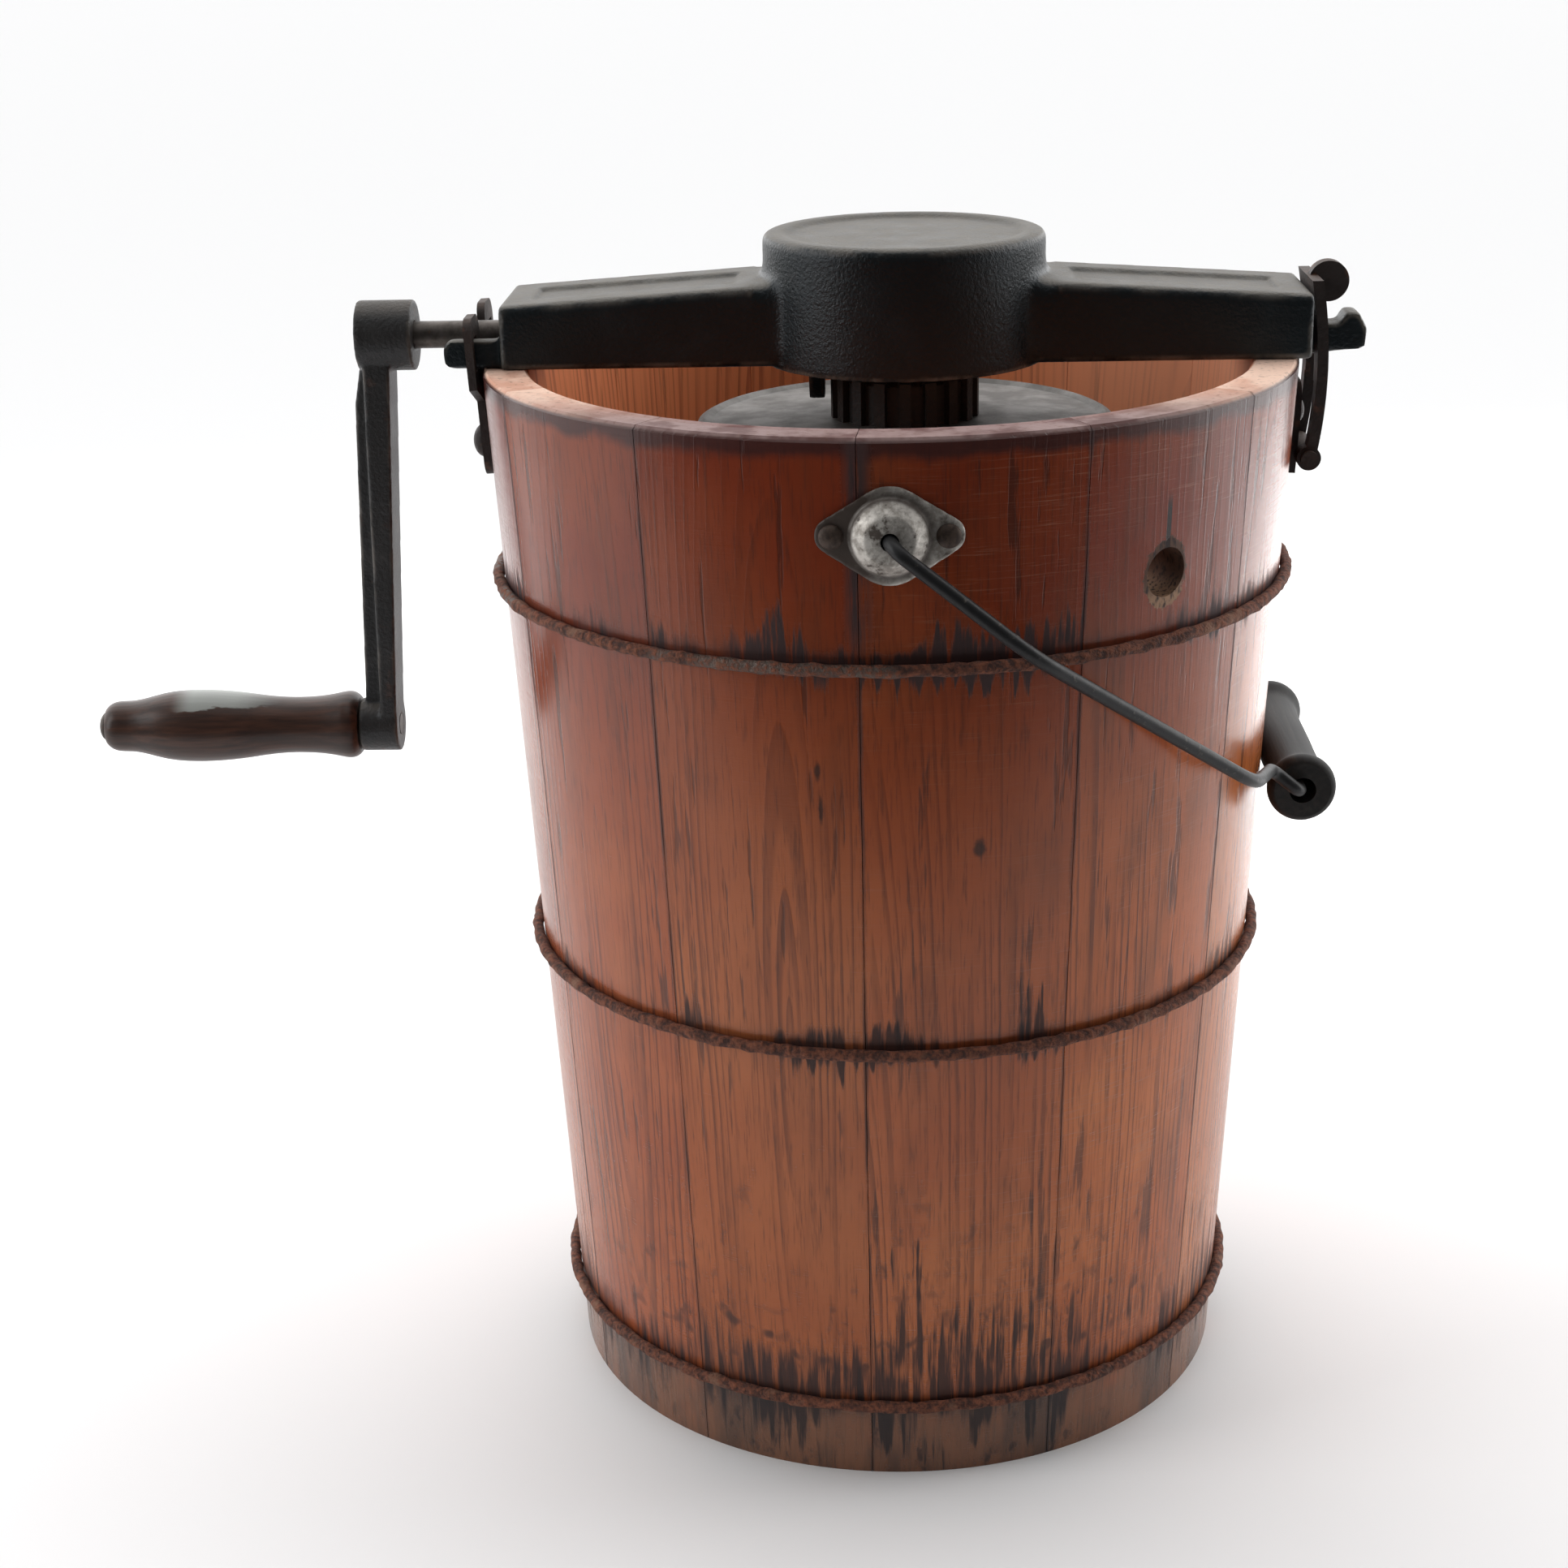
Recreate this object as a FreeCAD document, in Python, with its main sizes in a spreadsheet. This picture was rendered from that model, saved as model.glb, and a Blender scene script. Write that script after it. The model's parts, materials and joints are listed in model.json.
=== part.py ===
import FreeCAD, Part, Sketcher
import math
import os
import re

# Hand-cranked ice cream maker: a stave tub, a can that turns on a centre pin,
# and a cast gear frame that latches across the rim.
# The frame of the part: base centre of the tub at the origin, Z up,
# the crank toward -X, the latch toward +X, the front toward -Y. Millimetres.

SIZES = {
    "tub_height": 405, "tub_top_radius": 152.5, "tub_base_radius": 131.6,
    "stave_wall": 17, "stave_seam": 0.1, "seam_turn": -4.1,
    "rim_edge": 1.6, "croze_height": 24, "croze_depth": 4,
    "board_thickness": 12, "board_play": 0.3,
    "hoop_wire": 4, "hoop_play": 0.06,
    "hoop_low": 31, "hoop_middle": 180.5, "hoop_high_drop": 79.2,
    "drain_bore": 17.6, "drain_drop": 55.4, "drain_turn": 39,
    "socket_bore": 6.4, "socket_base": 24, "socket_plate": 3, "socket_flare": 13,
    "socket_neck": 10, "socket_height": 11, "socket_screw_spread": 18,
    "socket_hole": 2.2, "small_shank": 2, "small_head": 3.4,
    "drive_shift": 6.1, "shaft_rise": 9.2, "shaft_radius": 5.1,
    "shaft_play": 0.06, "press_play": 0.02, "wall_play": 0.06,
    "beam_left_inset": 9.3, "beam_right_overhang": 2.3, "beam_width": 54.6,
    "beam_end_rise": 23.5, "beam_root_rise": 30.5, "beam_wall": 5,
    "beam_root_set": 14, "beam_round": 3, "beam_end_wall": 9,
    "panel_width": 26, "panel_depth": 1.6, "panel_margin": 11, "panel_root_margin": 9,
    "housing_radius": 53, "housing_rise": 45.7, "housing_drop": 1.5,
    "housing_wall": 5.3, "housing_round": 3, "crown_width": 8, "dish_depth": 1.6,
    "web_gap": 3, "web_thickness": 6, "web_drop": 15, "web_set": 4.8,
    "roof_boss": 14, "roof_journal": 9, "boss_drop": 4, "gear_roof_gap": 0.6,
    "nose_width": 14, "nose_length": 23.2, "nose_top": 13.5, "nose_notch": 9.3,
    "lug_overhang": 9.5, "lug_centre": 20, "lug_width": 6, "lug_rise": 10.7,
    "gear_module": 3, "gear_face": 10,
    "gear_teeth": 18, "pinion_teeth": 10,
    "flute_depth": 1.8, "stem_radius": 6, "stem_square": 8.2, "square_play": 0.3,
    "crank_throw": 155, "crank_gap": 26.3, "hub_length": 21.4, "hub_radius": 13.2,
    "arm_width": 19, "rib_width": 6.5,
    "arm_offset": 16.2, "boss_length": 15.6, "boss_radius": 10.5,
    "handle_length": 102, "handle_gap": 0.4, "spindle_radius": 4, "spindle_head": 5.6,
    "ear_drop": 32.7, "ear_flange": 1.4, "ear_cup_radius": 13, "ear_cup_depth": 8,
    "ear_half_width": 30.5, "ear_half_height": 19.5, "ear_screw_spread": 19.4,
    "ear_tip_round": 6.5, "ear_side_round": 13, "ear_hole": 2.1,
    "screw_seat": 0.75,
    "bail_wire_radius": 2.5, "bail_overreach": 47.5, "bail_gap": 0.46,
    "bail_side_gap": 6.7, "bail_knee": 60, "bail_knee_draw": 2, "bail_shoulder": 32,
    "bail_waist": 98, "bail_neck_gap": 6, "bail_neck_length": 17,
    "bail_head": 6, "bail_head_height": 2.6, "bail_head_set": 1.2,
    "bail_ear_bend": 7, "bail_knee_bend": 45, "bail_elbow_bend": 30,
    "bail_neck_bend": 6, "bail_grip_bend": 4.5,
    "grip_length": 100, "grip_bead": 13, "grip_waist": 10.2, "grip_slack": 2.5,
    "grip_hang_gap": 0.5,
    "strap_thickness": 3, "strap_half_width": 28, "strap_tab": 13,
    "strap_up": 19, "strap_down": 43, "strap_screw_drop": 31.5, "strap_play": 0.1,
    "strap_slot_play": 0.8, "strap_fork": 8, "strap_round": 6,
    "bracket_thickness": 2.5, "bracket_half_width": 11, "bracket_round": 9,
    "bracket_low_drop": 46, "bracket_high_drop": 12, "bracket_screw_drop": 24,
    "latch_pivot_drop": 39, "latch_set": 0.9, "latch_play": 0.3,
    "latch_pin_radius": 2.2, "latch_eye": 4.5, "latch_half_width": 18,
    "latch_pin_overhang": 2.4, "latch_pin_head": 2,
    "latch_thickness": 4, "latch_bow": 176, "latch_window": 9.5,
    "latch_crossbar_rise": 17.6, "latch_top_rise": 27, "latch_foot": 8,
    "thumb_radius": 7.5, "thumb_rise": 24.5, "thumb_out": 3.2, "thumb_width": 6,
    "can_radius": 76, "can_wall": 1, "can_floor": 1.5, "can_floor_gap": 14,
    "can_rim_drop": 27, "pivot_radius": 5.8, "pivot_play": 0.3, "pivot_collar": 14,
    "lid_lip": 2.7, "lid_height": 3.5, "lid_skirt": 13,
    "scraper_thickness": 6, "scraper_gap": 3, "scraper_width": 12,
    "paddle_bar": 10, "paddle_post": 6, "paddle_low": 12, "paddle_high": 26,
    "scraper_end": 2,
}

# Sizes that follow from the ones above.
LINKED = {
    "gear_radius": "gear_module * gear_teeth / 2",
    "pinion_radius": "gear_module * pinion_teeth / 2",
    "flute_root": "gear_radius - flute_depth",
    "web_near": "gear_radius + web_gap",
    "web_half": "sqrt(pow(housing_radius - web_set; 2) - pow(web_near + web_thickness; 2))",
    "dish_radius": "housing_radius - crown_width",
    "hoop_high": "tub_height - hoop_high_drop",
    "drain_height": "tub_height - drain_drop",
    "ear_height": "tub_height - ear_drop",
    "bracket_low": "tub_height - bracket_low_drop",
    "bracket_high": "tub_height - bracket_high_drop",
    "latch_pivot_height": "tub_height - latch_pivot_drop",
    "latch_crossbar": "tub_height + latch_crossbar_rise",
    "latch_top": "tub_height + latch_top_rise",
    "can_low": "croze_height + board_thickness + can_floor_gap",
    "can_high": "tub_height - can_rim_drop",
    "lid_rise": "can_high + lid_height",
    "lid_radius": "can_radius + lid_lip",
    "beam_left": "tub_top_radius - beam_left_inset",
    "beam_right": "tub_top_radius + beam_right_overhang",
    "nose_reach": "beam_right + nose_length",
    "lug_reach": "tub_top_radius + strap_thickness + lug_overhang",
    "hub_inner": "tub_top_radius + crank_gap",
    "hub_outer": "hub_inner + hub_length",
    "boss_inner": "hub_inner + arm_offset",
    "boss_outer": "boss_inner + boss_length",
    "ear_wall": "tub_base_radius + (tub_top_radius - tub_base_radius) * ear_height / tub_height",
    "bail_spread": "ear_wall + ear_cup_depth + bail_side_gap",
    "bail_length": "tub_top_radius + bail_overreach",
    "bail_elbow": "bail_length - bail_shoulder",
    "bail_neck": "grip_length / 2 + bail_neck_gap",
    "grip_bore": "bail_wire_radius + grip_slack",
}

document = FreeCAD.newDocument("ice_cream_maker")
sheet = document.addObject("Spreadsheet::Sheet", "Sheet")
for row, (alias, number) in enumerate(SIZES.items(), start=1):
    sheet.set("A%d" % row, alias)
    sheet.set("B%d" % row, str(number))
    sheet.setAlias("B%d" % row, alias)
document.recompute()
for row, (alias, formula) in enumerate(LINKED.items(), start=len(SIZES) + 1):
    sheet.set("A%d" % row, alias)
    sheet.set("B%d" % row, "=" + formula)
    sheet.setAlias("B%d" % row, alias)
    document.recompute()

X = FreeCAD.Vector(1, 0, 0)
Y = FreeCAD.Vector(0, 1, 0)
Z = FreeCAD.Vector(0, 0, 1)
ORIGIN = FreeCAD.Vector(0, 0, 0)

# Turn that lays the height axis of a primitive along each direction.
ALONG = {
    "+X": FreeCAD.Rotation(Y, 90), "-X": FreeCAD.Rotation(Y, -90),
    "+Y": FreeCAD.Rotation(X, -90), "-Y": FreeCAD.Rotation(X, 90),
    "+Z": FreeCAD.Rotation(), "-Z": FreeCAD.Rotation(X, 180),
}

FLARE = "((tub_top_radius - tub_base_radius) / tub_height)"
SHAFT_Z = "(tub_height + shaft_rise)"
subparts = {}


def bound(text):
    """Turn bare size names in a formula into references to the sheet."""
    def link(found):
        word = found.group(0)
        known = word in SIZES or word in LINKED
        return "Sheet." + word if known else word
    return re.sub(r"[a-z_]+", link, str(text))


def size(text):
    """The present number of a size or formula."""
    return float(sheet.evalExpression(bound(text)))


def wall_radius(height):
    """Formula for the outside radius of the tub at a height."""
    return "(tub_base_radius + %s * (%s))" % (FLARE, height)


def keep(name, thing):
    """Register a finished sub-part under its node name."""
    thing.Label = name
    subparts[name] = thing
    return thing


def place(thing, base, along="+Z"):
    """Set a placement whose three coordinates follow the sheet."""
    thing.Placement = FreeCAD.Placement(ORIGIN, ALONG[along])
    for axis, formula in zip("xyz", base):
        thing.setExpression("Placement.Base." + axis, bound(formula))
    return thing


def primitive(kind, base, along="+Z", **formulas):
    """A Part primitive with its sizes and place bound to the sheet."""
    thing = document.addObject("Part::" + kind, kind)
    for prop, formula in formulas.items():
        thing.setExpression(prop, bound(formula))
    return place(thing, base, along)


def rod(base, along, radius, length):
    return primitive("Cylinder", base, along, Radius=radius, Height=length)


def block(low, high):
    """A box between two corners."""
    spans = ["(%s) - (%s)" % (b, a) for a, b in zip(low, high)]
    return primitive("Box", low, Length=spans[0], Width=spans[1], Height=spans[2])


def fuse(*things):
    whole = document.addObject("Part::MultiFuse", "Fuse")
    whole.Shapes = list(things)
    return whole


def common(*things):
    whole = document.addObject("Part::MultiCommon", "Common")
    whole.Shapes = list(things)
    return whole


def cut(base, *tools):
    whole = document.addObject("Part::Cut", "Cut")
    whole.Base = base
    whole.Tool = tools[0] if len(tools) == 1 else fuse(*tools)
    return whole


def body(name):
    return document.addObject("PartDesign::Body", name)


def outline(owner, role, corners):
    """A closed sketch whose every corner is held by two formulas."""
    plane = [item for item in owner.Origin.OriginFeatures if item.Role == role][0]
    sketch = owner.newObject("Sketcher::SketchObject", "Outline")
    sketch.AttachmentSupport = [(plane, "")]
    sketch.MapMode = "FlatFace"
    spots = [FreeCAD.Vector(size(u), size(v), 0) for u, v in corners]
    count = len(spots)
    for index in range(count):
        sketch.addGeometry(Part.LineSegment(spots[index], spots[(index + 1) % count]))
    for index in range(count):
        link = Sketcher.Constraint("Coincident", index, 2, (index + 1) % count, 1)
        sketch.addConstraint(link)
    for index, (u, v) in enumerate(corners):
        for kind, formula in (("DistanceX", u), ("DistanceY", v)):
            held = Sketcher.Constraint(kind, -1, 1, index, 1, size(formula))
            number = sketch.addConstraint(held)
            sketch.setExpression("Constraints[%d]" % number, bound(formula))
    return sketch


def turned(owner, corners, angle="360"):
    """Revolve an outline of (radius, height) corners about Z."""
    sketch = outline(owner, "XZ_Plane", corners)
    feature = owner.newObject("PartDesign::Revolution", "Revolution")
    feature.Profile = sketch
    feature.ReferenceAxis = (sketch, ["V_Axis"])
    feature.Midplane = True
    feature.setExpression("Angle", bound(angle))
    sketch.Visibility = False
    return feature


def padded(owner, role, corners, length, cutting=False):
    """Pad, or pocket, an outline to both sides of its plane."""
    sketch = outline(owner, role, corners)
    kind = "PartDesign::Pocket" if cutting else "PartDesign::Pad"
    feature = owner.newObject(kind, "Pocket" if cutting else "Pad")
    feature.Profile = sketch
    feature.Midplane = True
    feature.setExpression("Length", bound(length))
    sketch.Visibility = False
    return feature


def rounded(owner, feature, radius, chosen):
    """Round the edges of a feature that the test picks out."""
    document.recompute()
    names = []
    for number, edge in enumerate(feature.Shape.Edges, start=1):
        if chosen(edge):
            names.append("Edge%d" % number)
    fillet = owner.newObject("PartDesign::Fillet", "Fillet")
    fillet.Base = (feature, names)
    fillet.setExpression("Radius", bound(radius))
    owner.Tip = fillet
    return fillet


def straight_along(edge, direction):
    """True for a straight edge parallel to a direction."""
    if not isinstance(edge.Curve, Part.Line):
        return False
    return abs(abs(edge.Curve.Direction.dot(direction)) - 1) < 1e-6


def feature_of(name, shape):
    """A plain feature that holds a worked-out shape."""
    thing = document.addObject("Part::Feature", name)
    thing.Shape = shape
    return thing


def dome_screw(base, along, head_radius, head_height, shank_radius, shank_length):
    """A round-headed screw whose head stands out along the given direction."""
    back = {"+X": "-X", "-X": "+X", "+Y": "-Y", "-Y": "+Y", "+Z": "-Z"}[along]
    head = primitive("Ellipsoid", base, along, Radius1=head_height,
                     Radius2=head_radius, Angle1="0", Angle2="90")
    return fuse(head, rod(base, back, shank_radius, shank_length))


# Tub: twelve tapered staves round a board seated in their croze.
STAVE_COUNT = 12
STAVE_ANGLE = "(360 / %d)" % STAVE_COUNT


def stave(number):
    owner = body("stave_%02d" % number)
    inner = lambda height: wall_radius(height) + " - stave_wall"
    floor_top = "croze_height + board_thickness + board_play"
    shoulder = "tub_height - rim_edge"
    turned(owner, [
        (inner("0"), "0"), (wall_radius("0"), "0"),
        (wall_radius(shoulder), shoulder),
        ("tub_top_radius - rim_edge", "tub_height"),
        ("tub_top_radius - stave_wall + rim_edge", "tub_height"),
        (inner(shoulder), shoulder),
        (inner(floor_top), floor_top),
        (inner(floor_top) + " + croze_depth", floor_top),
        (inner("croze_height") + " + croze_depth", "croze_height"),
        (inner("croze_height"), "croze_height"),
    ], STAVE_ANGLE + " - stave_seam")
    turn = "seam_turn + %s * %.1f - 90" % (STAVE_ANGLE, number - 0.5)
    owner.setExpression("Placement.Rotation.Angle", bound(turn))
    return owner


for number in range(1, STAVE_COUNT + 1):
    if number != 2:
        keep("stave_%02d" % number, stave(number))

drain = rod(("0", "0", "drain_height"), "+X", "drain_bore / 2", "tub_top_radius + stave_wall")
drain.Placement.Rotation = FreeCAD.Rotation(
    Z, size("drain_turn") - 90).multiply(ALONG["+X"])
keep("stave_02", cut(stave(2), drain))

board_radius = wall_radius("croze_height") + " - stave_wall + croze_depth - board_play"
keep("tub_bottom", rod(("0", "0", "croze_height"), "+Z", board_radius, "board_thickness"))

for name in ("low", "middle", "high"):
    level = "hoop_" + name
    label = {"low": "bottom", "middle": "middle", "high": "top"}[name] + "_hoop"
    ring = wall_radius(level) + " + hoop_wire / 2 + hoop_play"
    keep(label, primitive("Torus", ("0", "0", level), Radius1=ring, Radius2="hoop_wire / 2"))

# Centre pin seat for the can, screwed to the tub bottom.
FLOOR = "(croze_height + board_thickness)"
seat = body("pivot_socket")
turned(seat, [
    ("socket_bore", FLOOR + " + socket_plate"), ("0", FLOOR + " + socket_plate"),
    ("0", FLOOR), ("socket_base", FLOOR),
    ("socket_base", FLOOR + " + socket_plate"),
    ("socket_flare", FLOOR + " + socket_plate * 4 / 3"),
    ("socket_neck", FLOOR + " + socket_height"), ("socket_bore", FLOOR + " + socket_height"),
])
place(seat, ("drive_shift", "0", "0"))
seat_spots = ["drive_shift + %d * socket_screw_spread" % way for way in (-1, 1)]
seat_holes = [rod((spot, "0", FLOOR + " - socket_plate"), "+Z", "socket_hole", "socket_plate * 3")
              for spot in seat_spots]
keep("pivot_socket", cut(seat, *seat_holes))
seat_screws = [dome_screw((spot, "0", FLOOR + " + socket_plate * 4 / 3"), "+Z", "small_head",
                          "small_shank * 0.9", "small_shank", "board_thickness * 0.75")
               for spot in seat_spots]
keep("socket_screws", fuse(*seat_screws))

# Bail ears: lozenge flanges pressed to the wall, each with a hollow cup.
shell_height = "(tub_height - ear_drop + ear_half_height + 7.2)"
def wall_shell(inner_gap, outer_gap):
    base = ("0", "0", "0")
    taper = " + %s * (%s)" % (FLARE, shell_height)
    outer = primitive("Cone", base, Radius1="tub_base_radius + " + outer_gap,
                      Radius2="tub_base_radius + " + outer_gap + taper, Height=shell_height)
    inner = primitive("Cone", base, Radius1="tub_base_radius + " + inner_gap,
                      Radius2="tub_base_radius + " + inner_gap + taper, Height=shell_height)
    return cut(outer, inner)


EAR_WALL = "ear_wall"
EAR_FACE = "(" + EAR_WALL + " + ear_cup_depth)"


def bail_ear(name, side):
    plate = body(name + "_plate")
    pad = padded(plate, "XZ_Plane", [
        ("ear_half_width", "0"), ("0", "ear_half_height"),
        ("-ear_half_width", "0"), ("0", "-ear_half_height"),
    ], "ear_cup_depth * 5")
    sharp = lambda edge: straight_along(edge, Y) and abs(edge.CenterOfMass.x) > 1
    tips = rounded(plate, pad, "ear_tip_round", sharp)
    blunt = lambda edge: straight_along(edge, Y) and abs(edge.CenterOfMass.x) < 1
    rounded(plate, tips, "ear_side_round", blunt)
    place(plate, ("0", "%d * (%s)" % (side, EAR_WALL), "ear_height"))
    flange = common(plate, wall_shell("wall_play", "wall_play + ear_flange"))
    cup = body(name + "_cup")
    start = EAR_WALL + " - 3"
    inside = "ear_cup_radius - ear_flange"
    turned(cup, [
        ("bail_wire_radius + shaft_play", EAR_FACE), (inside + " - 3", EAR_FACE),
        ("ear_cup_radius", EAR_FACE + " - 4"), ("ear_cup_radius", start),
        (inside, start), (inside, EAR_FACE + " - 4.6"),
        (inside + " - 3", EAR_FACE + " - ear_flange"),
        ("bail_wire_radius + shaft_play", EAR_FACE + " - ear_flange"),
    ])
    place(cup, ("0", "0", "ear_height"), "+Y" if side > 0 else "-Y")
    behind = primitive("Cone", ("0", "0", "0"), Radius1="tub_base_radius + wall_play",
                       Radius2="tub_base_radius + wall_play + %s * (%s)" % (FLARE, shell_height),
                       Height=shell_height)
    out = "+Y" if side > 0 else "-Y"
    well = rod(("0", "%d * (%s)" % (side, start), "ear_height"), out, inside, "5")
    holes = [rod(("%d * ear_screw_spread" % way, "%d * (%s - 6)" % (side, EAR_WALL), "ear_height"),
                 out, "ear_hole", "20") for way in (-1, 1)]
    return keep(name, fuse(cut(flange, well, *holes), cut(cup, behind)))


front_ear = bail_ear("front_bail_ear", -1)
rear_ear = document.addObject("Part::Mirroring", "rear_bail_ear")
rear_ear.Source = front_ear
rear_ear.Normal = Y
keep("rear_bail_ear", rear_ear)
EAR_SCREW_Y = "sqrt(pow(%s; 2) - pow(ear_screw_spread; 2)) + ear_flange + screw_seat" % EAR_WALL
for name, side in (("front_ear_screws", -1), ("rear_ear_screws", 1)):
    spots = [("%d * ear_screw_spread" % way, "%d * (%s)" % (side, EAR_SCREW_Y), "ear_height")
             for way in (-1, 1)]
    out = "+Y" if side > 0 else "-Y"
    keep(name, fuse(*[dome_screw(spot, out, "ear_hole * 2", "2.2", "ear_hole - 0.2", "13") for spot in spots]))


# Bail: one wire with headed ends, bent in its own plane, then hung at rest.
def bent_wire(spots, bends, radius):
    """Sweep a round wire along straight runs joined by tangent bends."""
    edges = []
    start = spots[0]
    for index in range(1, len(spots) - 1):
        corner = spots[index]
        back = (spots[index - 1] - corner).normalize()
        ahead = (spots[index + 1] - corner).normalize()
        half = math.acos(max(-1, min(1, back.dot(ahead)))) / 2
        reach = bends[index - 1] / math.tan(half)
        first = corner + back * reach
        last = corner + ahead * reach
        middle_way = (back + ahead).normalize()
        centre = corner + middle_way * (bends[index - 1] / math.sin(half))
        middle = centre - middle_way * bends[index - 1]
        edges.append(Part.LineSegment(start, first).toShape())
        edges.append(Part.Arc(first, middle, last).toShape())
        start = last
    edges.append(Part.LineSegment(start, spots[-1]).toShape())
    spine = Part.Wire(edges)
    round_end = Part.Wire(Part.makeCircle(radius, spots[0], spots[1] - spots[0]))
    return spine.makePipeShell([round_end], True, False)


def bail_shape():
    spread, waist, neck = size("bail_spread"), size("bail_waist"), size("bail_neck")
    reach, inside = size("bail_length"), size("ear_wall + bail_head_set")
    wire_reach = size("bail_length - grip_slack + grip_hang_gap")
    half = [(0, -inside), (0, -spread), (size("bail_knee"), size("bail_knee_draw") - spread),
            (size("bail_elbow"), -waist), (reach - size("bail_neck_length"), -neck),
            (wire_reach, -neck)]
    spots = [FreeCAD.Vector(u, v, 0) for u, v in half]
    spots += [FreeCAD.Vector(u, -v, 0) for u, v in reversed(half)]
    places = ("ear", "knee", "elbow", "neck", "grip")
    bends = [size("bail_%s_bend" % spot) for spot in places]
    wire = bent_wire(spots, bends + bends[::-1], size("bail_wire_radius"))
    heads = [Part.makeCylinder(size("bail_head"), size("bail_head_height"), FreeCAD.Vector(0, way * inside, 0),
                               FreeCAD.Vector(0, way, 0)) for way in (-1, 1)]
    return wire.fuse(heads)


def spun(stations, bore):
    """Revolve a smooth line through (along, radius) stations, with a bore, about X."""
    line = Part.BSplineCurve()
    spots = [FreeCAD.Vector(along, radius, 0) for along, radius in stations]
    line.interpolate(spots)
    first, last = spots[0], spots[-1]
    low_first = FreeCAD.Vector(first.x, bore, 0)
    low_last = FreeCAD.Vector(last.x, bore, 0)
    ring = [line.toShape(), Part.makeLine(last, low_last),
            Part.makeLine(low_last, low_first), Part.makeLine(low_first, first)]
    return Part.Face(Part.Wire(ring)).revolve(ORIGIN, X, 360)


half_grip = size("grip_length / 2")
bead, waist = size("grip_bead"), size("grip_waist")
grip_line = [(-1, 0.82), (-0.97, 0.95), (-0.92, 1), (-0.86, 0.96), (-0.8, 0.86)]
grip_stations = [(part * half_grip, share * bead) for part, share in grip_line]
grip_stations += [(-0.68 * half_grip, waist * 1.01), (0, waist), (0.68 * half_grip, waist * 1.01)]
grip_stations += [(-part * half_grip, share * bead) for part, share in reversed(grip_line)]


def grip_clear(angle):
    """True if the grip, hung at an angle below level, stays off the tub wall."""
    reach = size("bail_length") * math.cos(math.radians(angle))
    height = size("ear_height") - size("bail_length") * math.sin(math.radians(angle))
    wall = size("tub_base_radius") + size(FLARE) * height
    lean = math.cos(math.atan(size(FLARE)))
    for across, radius in grip_stations:
        room = (math.hypot(reach, across) - wall) * lean - radius
        if room < size("bail_gap"):
            return False
    return True


def hang_angle():
    """The angle at which the hanging grip meets the wall, found by halving."""
    low, high = 0.0, 90.0
    for step in range(30):
        middle = (low + high) / 2
        if grip_clear(middle):
            low = middle
        else:
            high = middle
    return low


bail_rest = hang_angle()
print("the bail hangs %.4f degrees below level" % bail_rest)
bail = feature_of("bail_wire", bail_shape())
bail.Placement = FreeCAD.Placement(FreeCAD.Vector(0, 0, size("ear_height")),
                                   FreeCAD.Rotation(Y, bail_rest))
keep("bail_wire", bail)
grip = feature_of("bail_grip", spun(grip_stations, size("grip_bore")))
rest = math.radians(bail_rest)
grip.Placement = FreeCAD.Placement(
    FreeCAD.Vector(size("bail_length") * math.cos(rest), 0,
                   size("ear_height") - size("bail_length") * math.sin(rest)),
    FreeCAD.Rotation(Z, 90))
keep("bail_grip", grip)

# Gear frame: one casting with two hollow arms, a gear housing and a hook.
RIM = "tub_height"
ROOT = "(tub_height + beam_root_rise)"
END = "(tub_height + beam_end_rise)"
TOP = "(tub_height + housing_rise)"
LEFT = "(-beam_left)"
INNER_ROOT = "(housing_radius - beam_root_set)"
arms = body("gear_frame_arms")
arm_pad = padded(arms, "XZ_Plane", [
    (LEFT, RIM), ("beam_right", RIM), ("beam_right", END),
    ("drive_shift + " + INNER_ROOT, ROOT), ("drive_shift - " + INNER_ROOT, ROOT), (LEFT, END),
], "beam_width")
upper_long = lambda edge: (edge.CenterOfMass.z > size(RIM) + size("beam_end_rise") / 2
                           and abs(edge.Curve.Direction.y) < 0.1
                           and abs(edge.Curve.Direction.z) < 0.5)
arm_round = rounded(arms, arm_pad, "beam_round", upper_long)
hollow_width = "beam_width - 2 * beam_wall"
slope = "(beam_root_rise - beam_end_rise)"
padded(arms, "XZ_Plane", [
    (LEFT + " + beam_end_wall", RIM + " - 1"), ("beam_right - beam_end_wall", RIM + " - 1"),
    ("beam_right - beam_end_wall", END + " - beam_wall"),
    ("drive_shift + " + INNER_ROOT, ROOT + " - beam_wall"),
    ("drive_shift - " + INNER_ROOT, ROOT + " - beam_wall"),
    (LEFT + " + beam_end_wall", END + " - beam_wall"),
], hollow_width, cutting=True)


def arm_top(x):
    """Formula for the height of the sloping arm top at an x on the right or left."""
    run_right = "(beam_right - drive_shift - %s)" % INNER_ROOT
    run_left = "(beam_left + drive_shift - %s)" % INNER_ROOT
    if x.startswith("beam"):
        return "(%s + %s * (beam_right - (%s)) / %s)" % (END, slope, x, run_right)
    return "(%s + %s * ((%s) + beam_left) / %s)" % (END, slope, x, run_left)


right_far, left_far = "beam_right - panel_margin", LEFT + " + panel_margin"
right_near = "beam_right - (beam_right - drive_shift - housing_radius - panel_root_margin)"
left_near = LEFT + " + (beam_left + drive_shift - housing_radius - panel_root_margin)"
for near, far in ((right_near, right_far), (left_near, left_far)):
    padded(arms, "XZ_Plane", [
        (near, arm_top(near) + " - panel_depth"), (far, arm_top(far) + " - panel_depth"),
        (far, arm_top(far) + " + 2"), (near, arm_top(near) + " + 2"),
    ], "panel_width", cutting=True)

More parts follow.
